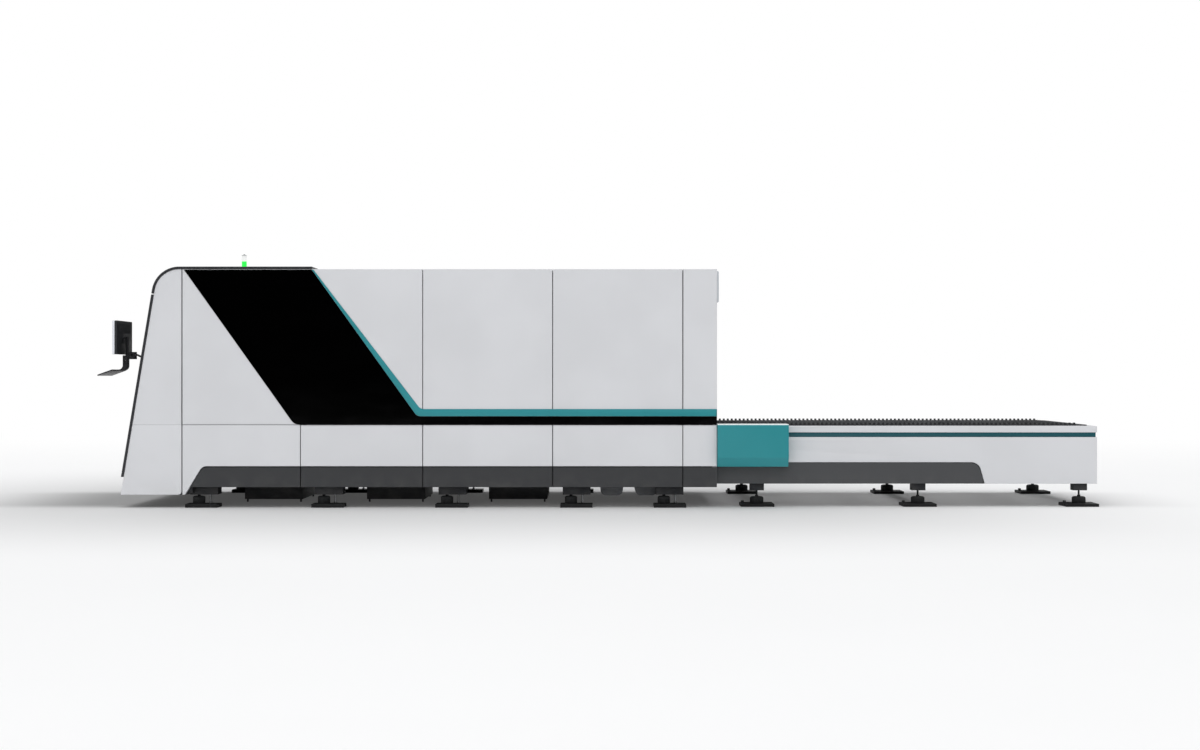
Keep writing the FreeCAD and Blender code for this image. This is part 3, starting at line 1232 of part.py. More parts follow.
ARM_FRONT = f"({ELBOW_X} + boss_radius + run_gap)"
ARM_BACK = f"({PIVOT_X} - boss_radius - run_gap)"
node("console_arm", [without("arm", joined("arm_solid", [
    prism("arm_bar", "XZ_Plane", [
        (ELBOW_X, "bracket_level"),
        (ARM_FRONT, "bracket_level"),
        (ARM_BACK, PIVOT_LEVEL),
        (PIVOT_X, PIVOT_LEVEL),
        (PIVOT_X, f"{PIVOT_LEVEL} + arm_height"),
        (ARM_BACK, f"{PIVOT_LEVEL} + arm_height"),
        (ARM_FRONT, ARM_TOP),
        (ELBOW_X, ARM_TOP)], "console_axis - boss_radius * 0.7", "boss_radius * 1.4"),
    rod("arm_boss_front", "z", ELBOW_X, "console_axis", "bracket_level", "boss_radius", "arm_height"),
    rod("arm_boss_back", "z", PIVOT_X, "console_axis", PIVOT_LEVEL, "boss_radius", "arm_height")]), [
    bore("arm_bore_front", "z", ELBOW_X, "console_axis", "bracket_level", "pin_radius + bore_play",
         "arm_height"),
    bore("arm_bore_back", "z", PIVOT_X, "console_axis", PIVOT_LEVEL, "pin_radius + bore_play",
         "arm_height")])])

TRAY_TIP = f"({NECK_X} - tray_tip)"
TRAY_BACK = f"({TRAY_TIP} + tray_depth)"


def tray_top(x):
    """Height of the tray's sloping top, x behind its front edge."""
    return f"(tray_low + tray_skin + tray_slope * ({x}))"


TRAY_REAR = tray_top("tray_depth")
NECK_LOW = f"({TRAY_REAR} - tray_skin)"
NECK_FRONT = f"({NECK_X} - neck_width / 2)"
neck = prism("neck", "XZ_Plane", [
    (f"{NECK_FRONT} + neck_step", "neck_high"),
    (f"{NECK_X} + neck_width / 2", "neck_high"),
    (f"{NECK_X} + neck_width / 2", NECK_LOW),
    (TRAY_BACK, NECK_LOW),
    (TRAY_BACK, TRAY_REAR),
    (NECK_FRONT, TRAY_REAR),
    (NECK_FRONT, "neck_shoulder"),
    (f"{NECK_FRONT} + neck_step", "neck_shoulder")],
    "console_axis - neck_depth / 2", "neck_depth", [(2, "neck_bend"), (5, "neck_fillet")])
KNUCKLE_X = f"({NECK_X} + neck_step / 2)"
fork = [box("knuckle_web", KNUCKLE_X, "console_axis - boss_radius", "knuckle_low",
            f"{ELBOW_X} - {KNUCKLE_X} - boss_radius - bore_play - run_gap", "2 * boss_radius",
            "knuckle_high - knuckle_low")]
for which, low, high in (("low", "knuckle_low", "(bracket_level - run_gap)"),
                         ("high", f"({ARM_TOP} + run_gap)", "knuckle_high")):
    fork += [box(f"knuckle_{which}", KNUCKLE_X, "console_axis - boss_radius", low,
                 f"{ELBOW_X} - {KNUCKLE_X}", "2 * boss_radius", f"{high} - {low}"),
             rod(f"knuckle_boss_{which}", "z", ELBOW_X, "console_axis", low, "boss_radius",
                 f"{high} - {low}")]
post = joined("post_solid", [neck] + fork + [
    rod("knuckle_pin", "z", ELBOW_X, "console_axis", "knuckle_low", "pin_radius",
        "knuckle_high - knuckle_low")])
node("console_post", [without("post", post, [
    box("neck_slot", f"{NECK_X} - slot_width / 2", "console_axis - neck_depth", "slot_low", "slot_width",
        "2 * neck_depth", "slot_height")])])

node("keyboard_tray", [prism("tray", "XZ_Plane", [
    (TRAY_TIP, "tray_low"),
    (TRAY_BACK, NECK_LOW),
    (TRAY_BACK, TRAY_REAR),
    (TRAY_TIP, tray_top("0"))],
    "console_axis - tray_width / 2", "tray_width")])
KEY_END = "(key_start + key_length)"
node("keyboard", [prism("keys", "XZ_Plane", [
    (f"{TRAY_TIP} + key_start", tray_top("key_start")),
    (f"{TRAY_TIP} + {KEY_END}", tray_top(KEY_END)),
    (f"{TRAY_TIP} + {KEY_END}", f"{tray_top(KEY_END)} + key_height"),
    (f"{TRAY_TIP} + key_start", f"{tray_top('key_start')} + key_height")],
    "console_axis + key_shift - key_width / 2", "key_width")])

SCREEN_BACK = f"({NECK_FRONT} + neck_step - 2 * tilt_radius - run_gap)"
SCREEN_MID = "((screen_low + screen_high) / 2)"


def screen_slab(name, border, x, skin, rounded=()):
    near = f"console_axis - screen_width / 2 + {border}"
    far = f"console_axis + screen_width / 2 - {border}"
    corners = [(near, f"screen_low + {border}"), (far, f"screen_low + {border}"),
               (far, f"screen_high - {border}"), (near, f"screen_high - {border}")]
    return prism(name, "YZ_Plane", corners, x, skin, [(k, "screen_round") for k in rounded])


node("monitor_back", [joined("monitor_shell", [
    screen_slab("monitor_back_slab", "0", f"{SCREEN_BACK} - screen_back", "screen_back", range(4)),
    box("tilt_lug", SCREEN_BACK, "console_axis - tilt_length / 2", f"{SCREEN_MID} - tilt_radius / 2",
        "tilt_radius", "tilt_length", "tilt_radius"),
    rod("tilt_barrel", "y", f"{SCREEN_BACK} + tilt_radius", "console_axis - tilt_length / 2", SCREEN_MID,
        "tilt_radius", "tilt_length")])])
FRONT_X = f"({SCREEN_BACK} - screen_back - screen_front)"
node("monitor_front", [without("monitor_bezel",
                               screen_slab("monitor_front_slab", "0", FRONT_X, "screen_front", range(4)),
                               [screen_slab("display_recess", "screen_border", FRONT_X, "glass_skin")])])
node("monitor_screen", [screen_slab("display", "screen_border", f"{FRONT_X} + run_gap",
                                    "glass_skin - run_gap")])

# ---- emergency stop on the front ------------------------------------------------------------------
STOP_Y = "(console_axis + stop_axis)"
BOX_LOW = "(stop_level - stop_box / 2)"
BOX_HIGH = "(stop_level + stop_box / 2)"
STOP_FACE = f"({front(BOX_LOW)} - stop_reach)"
CAP_BACK = f"({STOP_FACE} - stop_collar - stop_travel - run_gap)"
node("stop_box", [without("stop_housing", joined("stop_housing_solid", [
    prism("stop_housing_block", "XZ_Plane", [
        (STOP_FACE, BOX_LOW),
        (front(BOX_LOW), BOX_LOW),
        (front(BOX_HIGH), BOX_HIGH),
        (STOP_FACE, BOX_HIGH)], f"{STOP_Y} - stop_box / 2", "stop_box"),
    rod("stop_collar_ring", "x", f"{STOP_FACE} - stop_collar", STOP_Y, "stop_level", "stop_radius * 1.2",
        "stop_collar")]), [
    bore("stop_hole", "x", f"{STOP_FACE} - 2 * stop_collar", STOP_Y, "stop_level",
         "stop_stem + bore_play", "stop_depth + 2 * stop_collar")])])
node("emergency_stop", [joined("stop", [
    rod("stop_mushroom", "x", f"{CAP_BACK} - stop_height", STOP_Y, "stop_level", "stop_radius",
        "stop_height"),
    rod("stop_stem_bar", "x", CAP_BACK, STOP_Y, "stop_level", "stop_stem",
        "stop_depth + stop_collar")])])

# ---- build, test and write ------------------------------------------------------------------------
doc.recompute()
for item in doc.Objects:
    if {"Invalid", "Error"} & set(item.State):
        raise ValueError(f"{item.Name} failed: {item.State}")
for item in NODES:
    if item.Shape.isNull() or not item.Shape.isValid() or not item.Shape.Solids:
        raise ValueError(f"{item.Label} has no sound solid")

os.makedirs("parts", exist_ok=True)
for item in NODES:
    item.Shape.exportStep(f"parts/{item.Label}.step")
print(len(NODES), "nodes,", sum(len(item.Shape.Solids) for item in NODES), "solids")
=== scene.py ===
import math

import bmesh
import bpy
from mathutils import Matrix, Vector


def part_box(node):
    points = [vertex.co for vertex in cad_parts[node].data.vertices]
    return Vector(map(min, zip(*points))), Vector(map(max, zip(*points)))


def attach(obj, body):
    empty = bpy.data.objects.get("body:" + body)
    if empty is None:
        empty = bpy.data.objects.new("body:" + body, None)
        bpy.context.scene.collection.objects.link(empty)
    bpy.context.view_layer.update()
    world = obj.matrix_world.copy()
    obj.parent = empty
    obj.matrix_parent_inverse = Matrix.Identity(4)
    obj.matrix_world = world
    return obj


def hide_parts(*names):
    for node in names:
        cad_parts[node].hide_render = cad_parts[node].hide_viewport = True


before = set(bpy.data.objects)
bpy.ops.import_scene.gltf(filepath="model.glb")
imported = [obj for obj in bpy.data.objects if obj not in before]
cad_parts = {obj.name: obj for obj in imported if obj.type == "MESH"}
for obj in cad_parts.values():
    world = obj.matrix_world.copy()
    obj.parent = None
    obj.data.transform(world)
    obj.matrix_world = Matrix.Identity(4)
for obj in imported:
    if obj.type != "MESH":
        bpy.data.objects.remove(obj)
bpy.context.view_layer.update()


# ---------------------------------------------------------------- side cassettes
# The long walls, the exit wall, the roof and the nose's cheeks are folded sheet-steel cassettes,
# powder coated in a fine satin light grey. They hang on the cabin frame with dark gaps between
# them, and each folded edge is softly rounded. The table's side panels are painted to match.

class Wire:
    """One socket of a material, on which arithmetic can be written."""

    def __init__(self, recipe, socket):
        self.recipe = recipe
        self.socket = socket

    def __add__(self, other):
        return self.recipe.math("ADD", self, other)

    def __sub__(self, other):
        return self.recipe.math("SUBTRACT", self, other)

    def __rsub__(self, other):
        return self.recipe.math("SUBTRACT", other, self)

    def __mul__(self, other):
        return self.recipe.math("MULTIPLY", self, other)

    def above(self, limit):
        """1 where the value is above limit, and 0 elsewhere."""
        return self.recipe.math("GREATER_THAN", self, limit)

    def within(self, low, high):
        """1 between low and high, and 0 elsewhere."""
        return self.above(low) * (1.0 - self.above(high))

    def ramp(self, start, end):
        """0 at start and 1 at end, smooth between."""
        settings = {"interpolation_type": "SMOOTHSTEP"}
        sockets = {"Value": self, "From Min": start, "From Max": end}
        return self.recipe.add("ShaderNodeMapRange", settings, sockets)


class Recipe:
    """A shader in the making: add() places one node and gives back one of its outputs."""

    def __init__(self, name, owner=None):
        self.material = owner or bpy.data.materials.new(name)
        self.material.use_nodes = True
        self.tree = self.material.node_tree
        self.tree.nodes.clear()
        self.place = self.add("ShaderNodeTexCoord", {}, {}, "Generated" if owner else "Object")

    def add(self, kind, settings, sockets, output=0):
        made = self.tree.nodes.new(kind)
        for key, value in settings.items():
            setattr(made, key, value)
        for key, value in sockets.items():
            if isinstance(value, Wire):
                self.tree.links.new(value.socket, made.inputs[key])
            else:
                made.inputs[key].default_value = value
        return Wire(self, made.outputs[output])

    def math(self, operation, *values):
        return self.add("ShaderNodeMath", {"operation": operation}, dict(enumerate(values)))

    def axis(self, name):
        """The place along X, Y or Z."""
        return self.add("ShaderNodeSeparateXYZ", {}, {"Vector": self.place}, name)

    def ray(self, kind):
        """1 for one kind of ray, such as Is Camera Ray, and 0 for the others."""
        return self.add("ShaderNodeLightPath", {}, {}, kind)

    def stretched(self, scale):
        return self.add("ShaderNodeMapping", {}, {"Vector": self.place, "Scale": scale})

    def noise(self, scale, detail=3.0, where=None):
        sockets = {"Vector": where or self.place, "Scale": scale, "Detail": detail}
        return self.add("ShaderNodeTexNoise", {}, sockets)

    def mix(self, factor, low, high):
        """One colour into another. A Mix node's colour sockets are inputs 6, 7 and output 2."""
        sockets = {0: factor, 6: low, 7: high}
        return self.add("ShaderNodeMix", {"data_type": "RGBA"}, sockets, 2)

    def blend(self, factor, first, second):
        """One shader into another."""
        return self.add("ShaderNodeMixShader", {}, {0: factor, 1: first, 2: second})

    def bump(self, height, strength):
        sockets = {"Strength": strength, "Distance": 0.001, "Height": height}
        return self.add("ShaderNodeBump", {}, sockets)

    def surface(self, **sockets):
        named = {key.replace("_", " ").title().replace("Ior", "IOR"): value
                 for key, value in sockets.items()}
        self.add_output(self.add("ShaderNodeBsdfPrincipled", {}, named))
        return self.material

    def add_output(self, shader, kind="Material"):
        made = self.tree.nodes.new("ShaderNodeOutput" + kind)
        self.tree.links.new(shader.socket, made.inputs["Surface"])


def colour(red, green, blue):
    """A colour given as 0-255 display values, in the linear values that shaders take."""
    return tuple((value / 255) ** 2.2 for value in (red, green, blue)) + (1.0,)


def shade(tint, amount):
    """A tint made darker or lighter by amount."""
    return tuple(channel * amount for channel in tint[:3]) + (1.0,)


def powder_coat(name, tint, rough=0.42, grain=0.05, shine=0.5, change=None):
    """Sprayed powder coat: fine orange peel, a slight drift in tone and light dust near the floor.

    change is (axis, start, end, tint), for a coat that turns into another tint along an axis.
    """
    paint = Recipe(name)
    drift = paint.noise(1.7, 2.0)
    tone = paint.mix(drift.ramp(0.3, 0.7), shade(tint, 0.975), shade(tint, 1.02))
    if change:
        axis, start, end, other = change
        tone = paint.mix(paint.axis(axis).ramp(start, end), tone, other)
    near_floor = 1.0 - paint.axis("Z").ramp(0.0, 0.35)
    dust = near_floor * paint.noise(9.0).ramp(0.35, 0.75) * 0.10
    tone = paint.mix(dust, tone, colour(150, 146, 138))
    peel = paint.bump(paint.noise(420.0, 1.0), grain)
    roughness = paint.noise(35.0) * 0.08 + (rough - 0.04)
    return paint.surface(base_color=tone, roughness=roughness, normal=peel,
                         specular_ior_level=shine)


def in_scene(name, content):
    """An object at the origin that holds a mesh, a lamp or a camera."""
    made = bpy.data.objects.new(name, content)
    bpy.context.scene.collection.objects.link(made)
    return made


def shade_faces(mesh, smooth):
    """Smooth or flat shading on every face."""
    mesh.polygons.foreach_set("use_smooth", [smooth] * len(mesh.polygons))


WELD = 0.00002


def crisp(node, width, segments=2):
    """A merged copy of a CAD node, with its edges rounded by width."""
    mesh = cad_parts[node].data.copy()
    work = bmesh.new()
    work.from_mesh(mesh)
    bmesh.ops.remove_doubles(work, verts=work.verts, dist=WELD)
    bmesh.ops.dissolve_limit(work, angle_limit=math.radians(0.6), verts=work.verts,
                             edges=work.edges)
    bmesh.ops.recalc_face_normals(work, faces=work.faces)
    work.to_mesh(mesh)
    work.free()
    mesh.materials.clear()
    made = in_scene(node + "_skin", mesh)
    shade_faces(mesh, True)
    if width:
        edge = made.modifiers.new("edge", "BEVEL")
        edge.width = width
        edge.segments = segments
        edge.limit_method = "ANGLE"
        edge.angle_limit = math.radians(35.0)
        edge.harden_normals = True
        edge.miter_outer = "MITER_ARC"
    return made


def settle(made, body, material, slot, *nodes):
    """Gives a finished piece its material, the body it rides on and the CAD nodes it stands for."""
    made.data.materials.clear()
    made.data.materials.append(material)
    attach(made, body)
    if nodes:
        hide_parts(*nodes)


def skin(node, width, body, material, slot, segments=2):
    """A crisp copy of a CAD node, settled in the node's place."""
    settle(crisp(node, width, segments), body, material, slot, node)


light_paint = powder_coat("light_paint", colour(200, 201, 204))
for node in ("side_upper_panels", "side_lower_panels", "roof_panels", "exit_wall"):
    skin(node, 0.003, "machine", light_paint, "light_paint", 3)

# Along its foot, each cheek's outer edge is rolled with a wide radius.
FOOT_ROLL = 0.022
ON_EDGE = 0.0005
cheeks = crisp("nose_cheeks", 0.004, 3)
low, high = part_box("nose_cheeks")
work = bmesh.new()
work.from_mesh(cheeks.data)
foot_edges = [edge for edge in work.edges
              if all(vert.co.z < low.z + ON_EDGE and abs(vert.co.y) > high.y - ON_EDGE
                     for vert in edge.verts)]
bmesh.ops.bevel(work, geom=foot_edges, offset=FOOT_ROLL, segments=8, profile=0.5,
                affect="EDGES", material=-1)
work.to_mesh(cheeks.data)
work.free()
shade_faces(cheeks.data, True)
settle(cheeks, "machine", light_paint, "light_paint", "nose_cheeks")
skin("table_side_panels", 0.0015, "machine", light_paint, "light_paint")


# ---------------------------------------------------------------- seam gasket
# Behind the level seam at the front lies a strip of light grey foam gasket, glued to the
# cassettes on both long sides, so that the seam reads as a fine line. A thinner strip carries
# the line on in the crease of each cheek.

def mesh_piece(name, work):
    """Turns a bmesh into an object at the origin."""
    bmesh.ops.recalc_face_normals(work, faces=work.faces)
    mesh = bpy.data.meshes.new(name)
    work.to_mesh(mesh)
    work.free()
    return in_scene(name, mesh)


def add_block(work, low, high, soften=0.0):
    """A box from its lowest to its highest corner, with its edges rounded by soften."""
    middle = (Vector(low) + Vector(high)) / 2
    size = Vector(high) - Vector(low)
    made = bmesh.ops.create_cube(work, size=1.0)["verts"]
    for vert in made:
        vert.co = Vector(a * b for a, b in zip(vert.co, size)) + middle
    if soften:
        edges = {edge for vert in made for edge in vert.link_edges}
        bmesh.ops.bevel(work, geom=list(edges), offset=soften, segments=2, profile=0.5,
                        affect="EDGES", material=-1)


def add_turned(work, centre, axis, steps, sides, flute=0.0):
    """A closed turned shape: steps are (distance along the axis, radius) from centre.

    With flute, every second side lies that share of the radius deeper.
    """
    along = Vector(axis).normalized()
    across = along.orthogonal().normalized()
    beside = along.cross(across)
    rings = []
    for distance, radius in steps:
        middle = Vector(centre) + along * distance
        ring = []
        for k in range(sides):
            angle = 2 * math.pi * k / sides
            reach = radius * (1.0 - flute * (k % 2))
            ring.append(work.verts.new(
                middle + (across * math.cos(angle) + beside * math.sin(angle)) * reach))
        rings.append(ring)
    for first, second in zip(rings, rings[1:]):
        for k in range(sides):
            after = (k + 1) % sides
            work.faces.new((first[k], first[after], second[after], second[k]))
    work.faces.new(rings[0])
    work.faces.new(rings[-1])


def smooth_sides(made, angle):
    """Smooth shading across edges flatter than angle."""
    shade_faces(made.data, True)
    made.data.set_sharp_from_angle(angle=math.radians(angle))
    return made


def islands(node):
    """Lowest and highest corner of each separate solid of a CAD node."""
    work = bmesh.new()
    work.from_mesh(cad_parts[node].data)
    bmesh.ops.remove_doubles(work, verts=work.verts, dist=WELD)
    waiting = set(work.verts)
    found = []
    while waiting:
        group = [waiting.pop()]
        for vert in group:
            for edge in vert.link_edges:
                other = edge.other_vert(vert)
                if other in waiting:
                    waiting.remove(other)
                    group.append(other)
        corners = list(zip(*(vert.co for vert in group)))
        found.append((Vector(map(min, corners)), Vector(map(max, corners))))
    work.free()
    return sorted(found, key=lambda pair: (round(pair[0].x, 3), pair[0].y))


SEAM_WIDTH = 0.006
FOAM_DEPTH = 0.008
CREASE_START = -3.911
CREASE_END = -3.480
seam_foam = powder_coat("seam_foam", colour(150, 151, 154), rough=0.8, grain=0.3)
lower_low, lower_high = islands("side_lower_panels")[0]
panel_back = abs(lower_low.y) - 0.0015
cheek_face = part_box("nose_cheeks")[1].y
work = bmesh.new()
for side in (-1, 1):
    near, far = sorted((side * panel_back, side * (panel_back - FOAM_DEPTH)))
    add_block(work, (lower_low.x + 0.001, near, lower_high.z - 0.001),
              (lower_high.x - 0.001, far, lower_high.z + SEAM_WIDTH + 0.001))
    near, far = sorted((side * (cheek_face - 0.0004), side * (cheek_face - 0.0015)))
    add_block(work, (CREASE_START, near, lower_high.z + 0.0014),
              (CREASE_END, far, lower_high.z + 0.0046))
settle(mesh_piece("level_seam_gasket", work), "machine", seam_foam, "light_paint")


# ---------------------------------------------------------------- skirts and leaning front
# The skirts are darker cassettes along the foot of the cabin and the table. The leaning front,
# its door and the cover over the front of the roof are one dark grey folded skin.

skirt_paint = powder_coat("skirt_paint", colour(48, 49, 51), rough=0.5,
                          change=("X", 1.00, 1.04, colour(64, 65, 67)))
skin("skirt_panels", 0.003, "machine", skirt_paint, "skirt_paint", 3)

front_paint = powder_coat("front_paint", colour(39, 40, 43), rough=0.45)
for node in ("roof_front_cover", "nose_pan", "nose_front_panels"):
    skin(node, 0.002, "machine", front_paint, "front_paint", 3)
skin("front_door", 0.002, "front_door", front_paint, "front_paint", 3)


# ---------------------------------------------------------------- gloss field and teal strips
# The black field is gloss acrylic sheet bonded on the cassettes. Teal strips of painted sheet
# follow its rear edge and its foot, and the drive cover on the table is painted to match. The
# strip along the table is painted darker, as painted shade in its recess under the cap strip,
# and the cover's top rim is painted near white, as a painted highlight.

gloss = Recipe("black_gloss")
wipe = gloss.noise(3.0, 4.0, gloss.stretched((1.0, 1.0, 4.0)))
black_gloss = gloss.surface(
    base_color=gloss.mix(wipe, colour(1, 1, 1), colour(4, 4, 5)),
    roughness=wipe.ramp(0.4, 0.8) * 0.03 + 0.07,
    specular_ior_level=0.25,
)
field = crisp("side_gloss_panels", 0.002)
shade_faces(field.data, False)
settle(field, "machine", black_gloss, "black_gloss", "side_gloss_panels")

TEAL = colour(30, 126, 133)
# Past x = 1.01 the strip along the table turns a darker teal: painted shade in its recess under the
# cap strip.
teal_trim = powder_coat("teal_paint", TEAL, rough=0.38,
                        change=("X", 1.01, 1.03, colour(2, 75, 83)))
skin("teal_trims", 0.0015, "machine", teal_trim, "teal_paint")
# Above z = 0.696 the drive cover's top rim is painted near white: a painted highlight where its top
# edge catches the overhead light.
teal_cover_painted_highlight = powder_coat("teal_cover_painted_highlight", TEAL, rough=0.38,
                         change=("Z", 0.6960, 0.6975, colour(226, 232, 232)))
skin("drive_cover", 0.006, "machine", teal_cover_painted_highlight, "teal_paint", 4)


# ---------------------------------------------------------------- welded frames
# The bed, the cabin's posts and rails and the table are welded from square steel tube, in a matt
# grey primer that has collected some dust.

frame_paint = powder_coat("frame_paint", colour(40, 41, 44), rough=0.62, grain=0.12, shine=0.3)
for node in ("bed_frame", "table_frame", "cabin_frame", "pallet_tracks"):
    skin(node, 0.002, "machine", frame_paint, "frame_paint")


# ---------------------------------------------------------------- feet
# Each foot is a cast pad bolted down by one anchor, with a screwed levelling jack that carries
# the frame. The castings are dark and oiled, and the pads are drawn darker still, as painted shade
# under the machine.

def bare_metal(name, tint, rough, streak=(1.0, 1.0, 1.0), grain=0.1, metal=1.0):
    """Bare or oiled metal: streaked tone, uneven polish and a fine bump."""
    steel = Recipe(name)
    along = steel.stretched(streak)
    stain = steel.noise(14.0, 5.0, along)
    fine = steel.noise(260.0, 2.0, along)
    return steel.surface(
        base_color=steel.mix(stain.ramp(0.3, 0.75), shade(tint, 0.82), shade(tint, 1.12)),
        metallic=metal,
        roughness=stain * 0.18 + fine * 0.08 + (rough - 0.12),
        normal=steel.bump(fine, grain),
    )


WIDEST_SCREW = 0.04
SHORTEST_WITH_NUT = 0.03
THREAD_PITCH = 0.003
foot_steel = bare_metal("foot_steel", colour(42, 43, 44), 0.6, metal=0.3)
# The pads' material is a darker copy of the foot steel: painted shade on their tops under the
# machine.
pad_casting_painted_shade = bare_metal("pad_casting_painted_shade", colour(22, 23, 24), 0.75, metal=0.2)
plain_steel = bare_metal("plain_steel", colour(168, 170, 172), 0.35, (1.0, 6.0, 1.0))
skin("foot_pads", 0.0015, "machine", pad_casting_painted_shade, "foot_steel")
work = bmesh.new()
for low, high in islands("levelling_jacks"):
    middle = (low + high) / 2
    radius = (high.x - low.x) / 2
    tall = high.z - low.z
    bottom = (middle.x, middle.y, low.z)
    if radius > WIDEST_SCREW:
        drum = [(0.0, radius * 0.96), (0.004, radius), (tall - 0.012, radius),
                (tall - 0.004, radius * 0.9), (tall, radius * 0.7)]
        add_turned(work, bottom, (0, 0, 1), drum, 48, flute=0.05)
    else:
        thread = []
        for k in range(int(tall / THREAD_PITCH)):
            thread += [(k * THREAD_PITCH, radius * 0.9), ((k + 0.5) * THREAD_PITCH, radius)]
        add_turned(work, bottom, (0, 0, 1), thread + [(tall, radius * 0.9)], 20)
        if tall > SHORTEST_WITH_NUT:
            nut = [(0.0, radius * 1.7), (0.010, radius * 1.7), (0.012, radius * 1.5)]
            add_turned(work, (middle.x, middle.y, low.z + 0.001), (0, 0, 1), nut, 6)
settle(smooth_sides(mesh_piece("fluted_jacks", work), 30.0), "machine", foot_steel, "foot_steel",
       "levelling_jacks")
skin("anchor_bolts", 0.0008, "machine", plain_steel, "plain_steel")

# Each of the table's pads also carries a hexagon bolt on a washer.
TABLE_START = 1.1
PAD_BOLT = [(0.0, 0.018), (0.003, 0.018), (0.0031, 0.0135), (0.019, 0.0135), (0.022, 0.010)]
work = bmesh.new()
for low, high in islands("foot_pads"):
    if low.x > TABLE_START:
        add_turned(work, (low.x + 0.018, (low.y + high.y) / 2, high.z), (0, 0, 1), PAD_BOLT, 6)
settle(mesh_piece("pad_bolts", work), "machine", foot_steel, "foot_steel")


# ---------------------------------------------------------------- gantry and cutting head
# Ground steel rails on the bed carry an aluminium cross beam. The carriage on it holds the dark
# head with its turned copper nozzle.

rail_steel = bare_metal("rail_steel", colour(188, 190, 192), 0.25, (0.2, 6.0, 6.0))
skin("gantry_rails", 0.001, "machine", rail_steel, "rail_steel")
gantry_paint = bare_metal("gantry_paint", colour(196, 198, 202), 0.42, (5.0, 0.3, 5.0),
                          grain=0.05, metal=0.8)
skin("gantry_beam", 0.002, "gantry", gantry_paint, "gantry_paint")
skin("cross_carriage", 0.002, "cross_carriage", plain_steel, "plain_steel")

# Two columns of socket-head screws on the carriage's face, each under a thin lip.
SCREW_INSET = 0.022
SOCKET_SCREW = [(0.0, 0.009), (0.007, 0.009), (0.008, 0.008), (0.0081, 0.004), (0.004, 0.004)]
low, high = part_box("cross_carriage")
work = bmesh.new()
for side in (low.y + SCREW_INSET, high.y - SCREW_INSET):
    for level in (low.z + 0.03, (low.z + high.z) / 2, high.z - 0.03):
        add_turned(work, (high.x, side, level), (1, 0, 0), SOCKET_SCREW, 24)
    add_block(work, (high.x, side - 0.012, high.z - 0.002),
              (high.x + 0.004, side + 0.012, high.z), 0.0008)
settle(smooth_sides(mesh_piece("carriage_screws", work), 50.0), "cross_carriage", plain_steel,
       "plain_steel")
head_shell = powder_coat("head_shell", colour(44, 46, 49), rough=0.35)
skin("cutting_head", 0.002, "cutting_head", head_shell, "head_shell")
nozzle_copper = bare_metal("nozzle_copper", colour(206, 132, 84), 0.3, (1.0, 1.0, 12.0))
skin("cutting_nozzle", 0.0005, "cutting_head", nozzle_copper, "nozzle_copper")


# ---------------------------------------------------------------- shuttle pallets
# Each pallet is a tube frame on two axles, painted once and now dull and dusty. The slats are
# hot-rolled strips with cut teeth and folded ends, heat stained in use. They stand in one
# notched comb under their middles, between plain ledgers.

SLATS = 83
SLAT_SKIN = 0.003
TOOTH_PITCH = 0.0365
TOOTH_DEPTH = 0.016
END_RISE = 0.008
END_WIDTH = 0.008
FLAP_REACH = 0.016
FLAP_HEIGHT = 0.040
pallet_steel = powder_coat("pallet_steel", colour(48, 49, 52), rough=0.68, grain=0.15, shine=0.35)
slat_steel = bare_metal("slat_steel", colour(66, 67, 69), 0.6, (1.0, 0.3, 2.0), grain=0.25,
                        metal=0.55)
wheel_steel = bare_metal("wheel_steel", colour(140, 141, 143), 0.32, (1.0, 8.0, 1.0))


def toothed_slats(name, node):
    """One strip per slat of the CAD node, its upper edge cut into a row of pointed teeth."""
    low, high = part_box(node)
    pitch = (high.x - low.x - SLAT_SKIN) / (SLATS - 1)
    teeth = round((high.y - low.y) / TOOTH_PITCH)
    step = (high.y - low.y) / teeth
    tips = high.z - END_RISE
    roots = tips - TOOTH_DEPTH
    profile = [(low.y, low.z), (high.y, low.z), (high.y, high.z), (high.y - END_WIDTH, high.z)]
    for tooth in range(teeth - 1, 1, -1):
        far = low.y + tooth * step
        profile += [(far, roots), (far - step * 0.44, tips), (far - step * 0.56, tips)]
    profile += [(low.y + step, roots), (low.y + END_WIDTH, high.z), (low.y, high.z)]
    work = bmesh.new()
    for index in range(SLATS):
        left = low.x + index * pitch
        near = [work.verts.new((left, y, z)) for y, z in profile]
        back = [work.verts.new((left + SLAT_SKIN, y, z)) for y, z in profile]
        work.faces.new(near)
        work.faces.new(list(reversed(back)))
        for one in range(len(profile)):
            two = (one + 1) % len(profile)
            work.faces.new((near[one], back[one], back[two], near[two]))
        for end in (low.y, high.y - SLAT_SKIN):
            add_block(work, (left + SLAT_SKIN, end, high.z - FLAP_HEIGHT),
                      (left + SLAT_SKIN + FLAP_REACH, end + SLAT_SKIN, high.z))
    return mesh_piece(name, work)


for pallet in ("pallet_a", "pallet_b"):
    skin(pallet + "_frame", 0.0015, pallet, pallet_steel, "pallet_steel")
    slats = toothed_slats(pallet + "_toothed_slats", pallet + "_slats")
    settle(slats, pallet, slat_steel, "slat_steel", pallet + "_slats")
    for end in ("inner", "outer"):
        skin(pallet + "_axle_" + end, 0.001, pallet + "_wheels_" + end, wheel_steel,
             "wheel_steel")


# ---------------------------------------------------------------- pallet drive
# A geared motor under the teal cover turns a shaft with sprockets, and an idler shaft stands at
# the table's end. The two chains between them run oiled in the table's side beams.

motor_paint = powder_coat("motor_paint", colour(38, 40, 44), rough=0.4)
skin("drive_motor", 0.0015, "machine", motor_paint, "motor_paint")
chain_steel = bare_metal("chain_steel", colour(66, 67, 69), 0.4, (8.0, 1.0, 1.0), grain=0.3,
                         metal=0.8)
skin("drive_chains", 0.0008, "machine", chain_steel, "chain_steel")
for shaft in ("drive_shaft", "idler_shaft"):
    skin(shaft, 0.0008, shaft, plain_steel, "plain_steel")


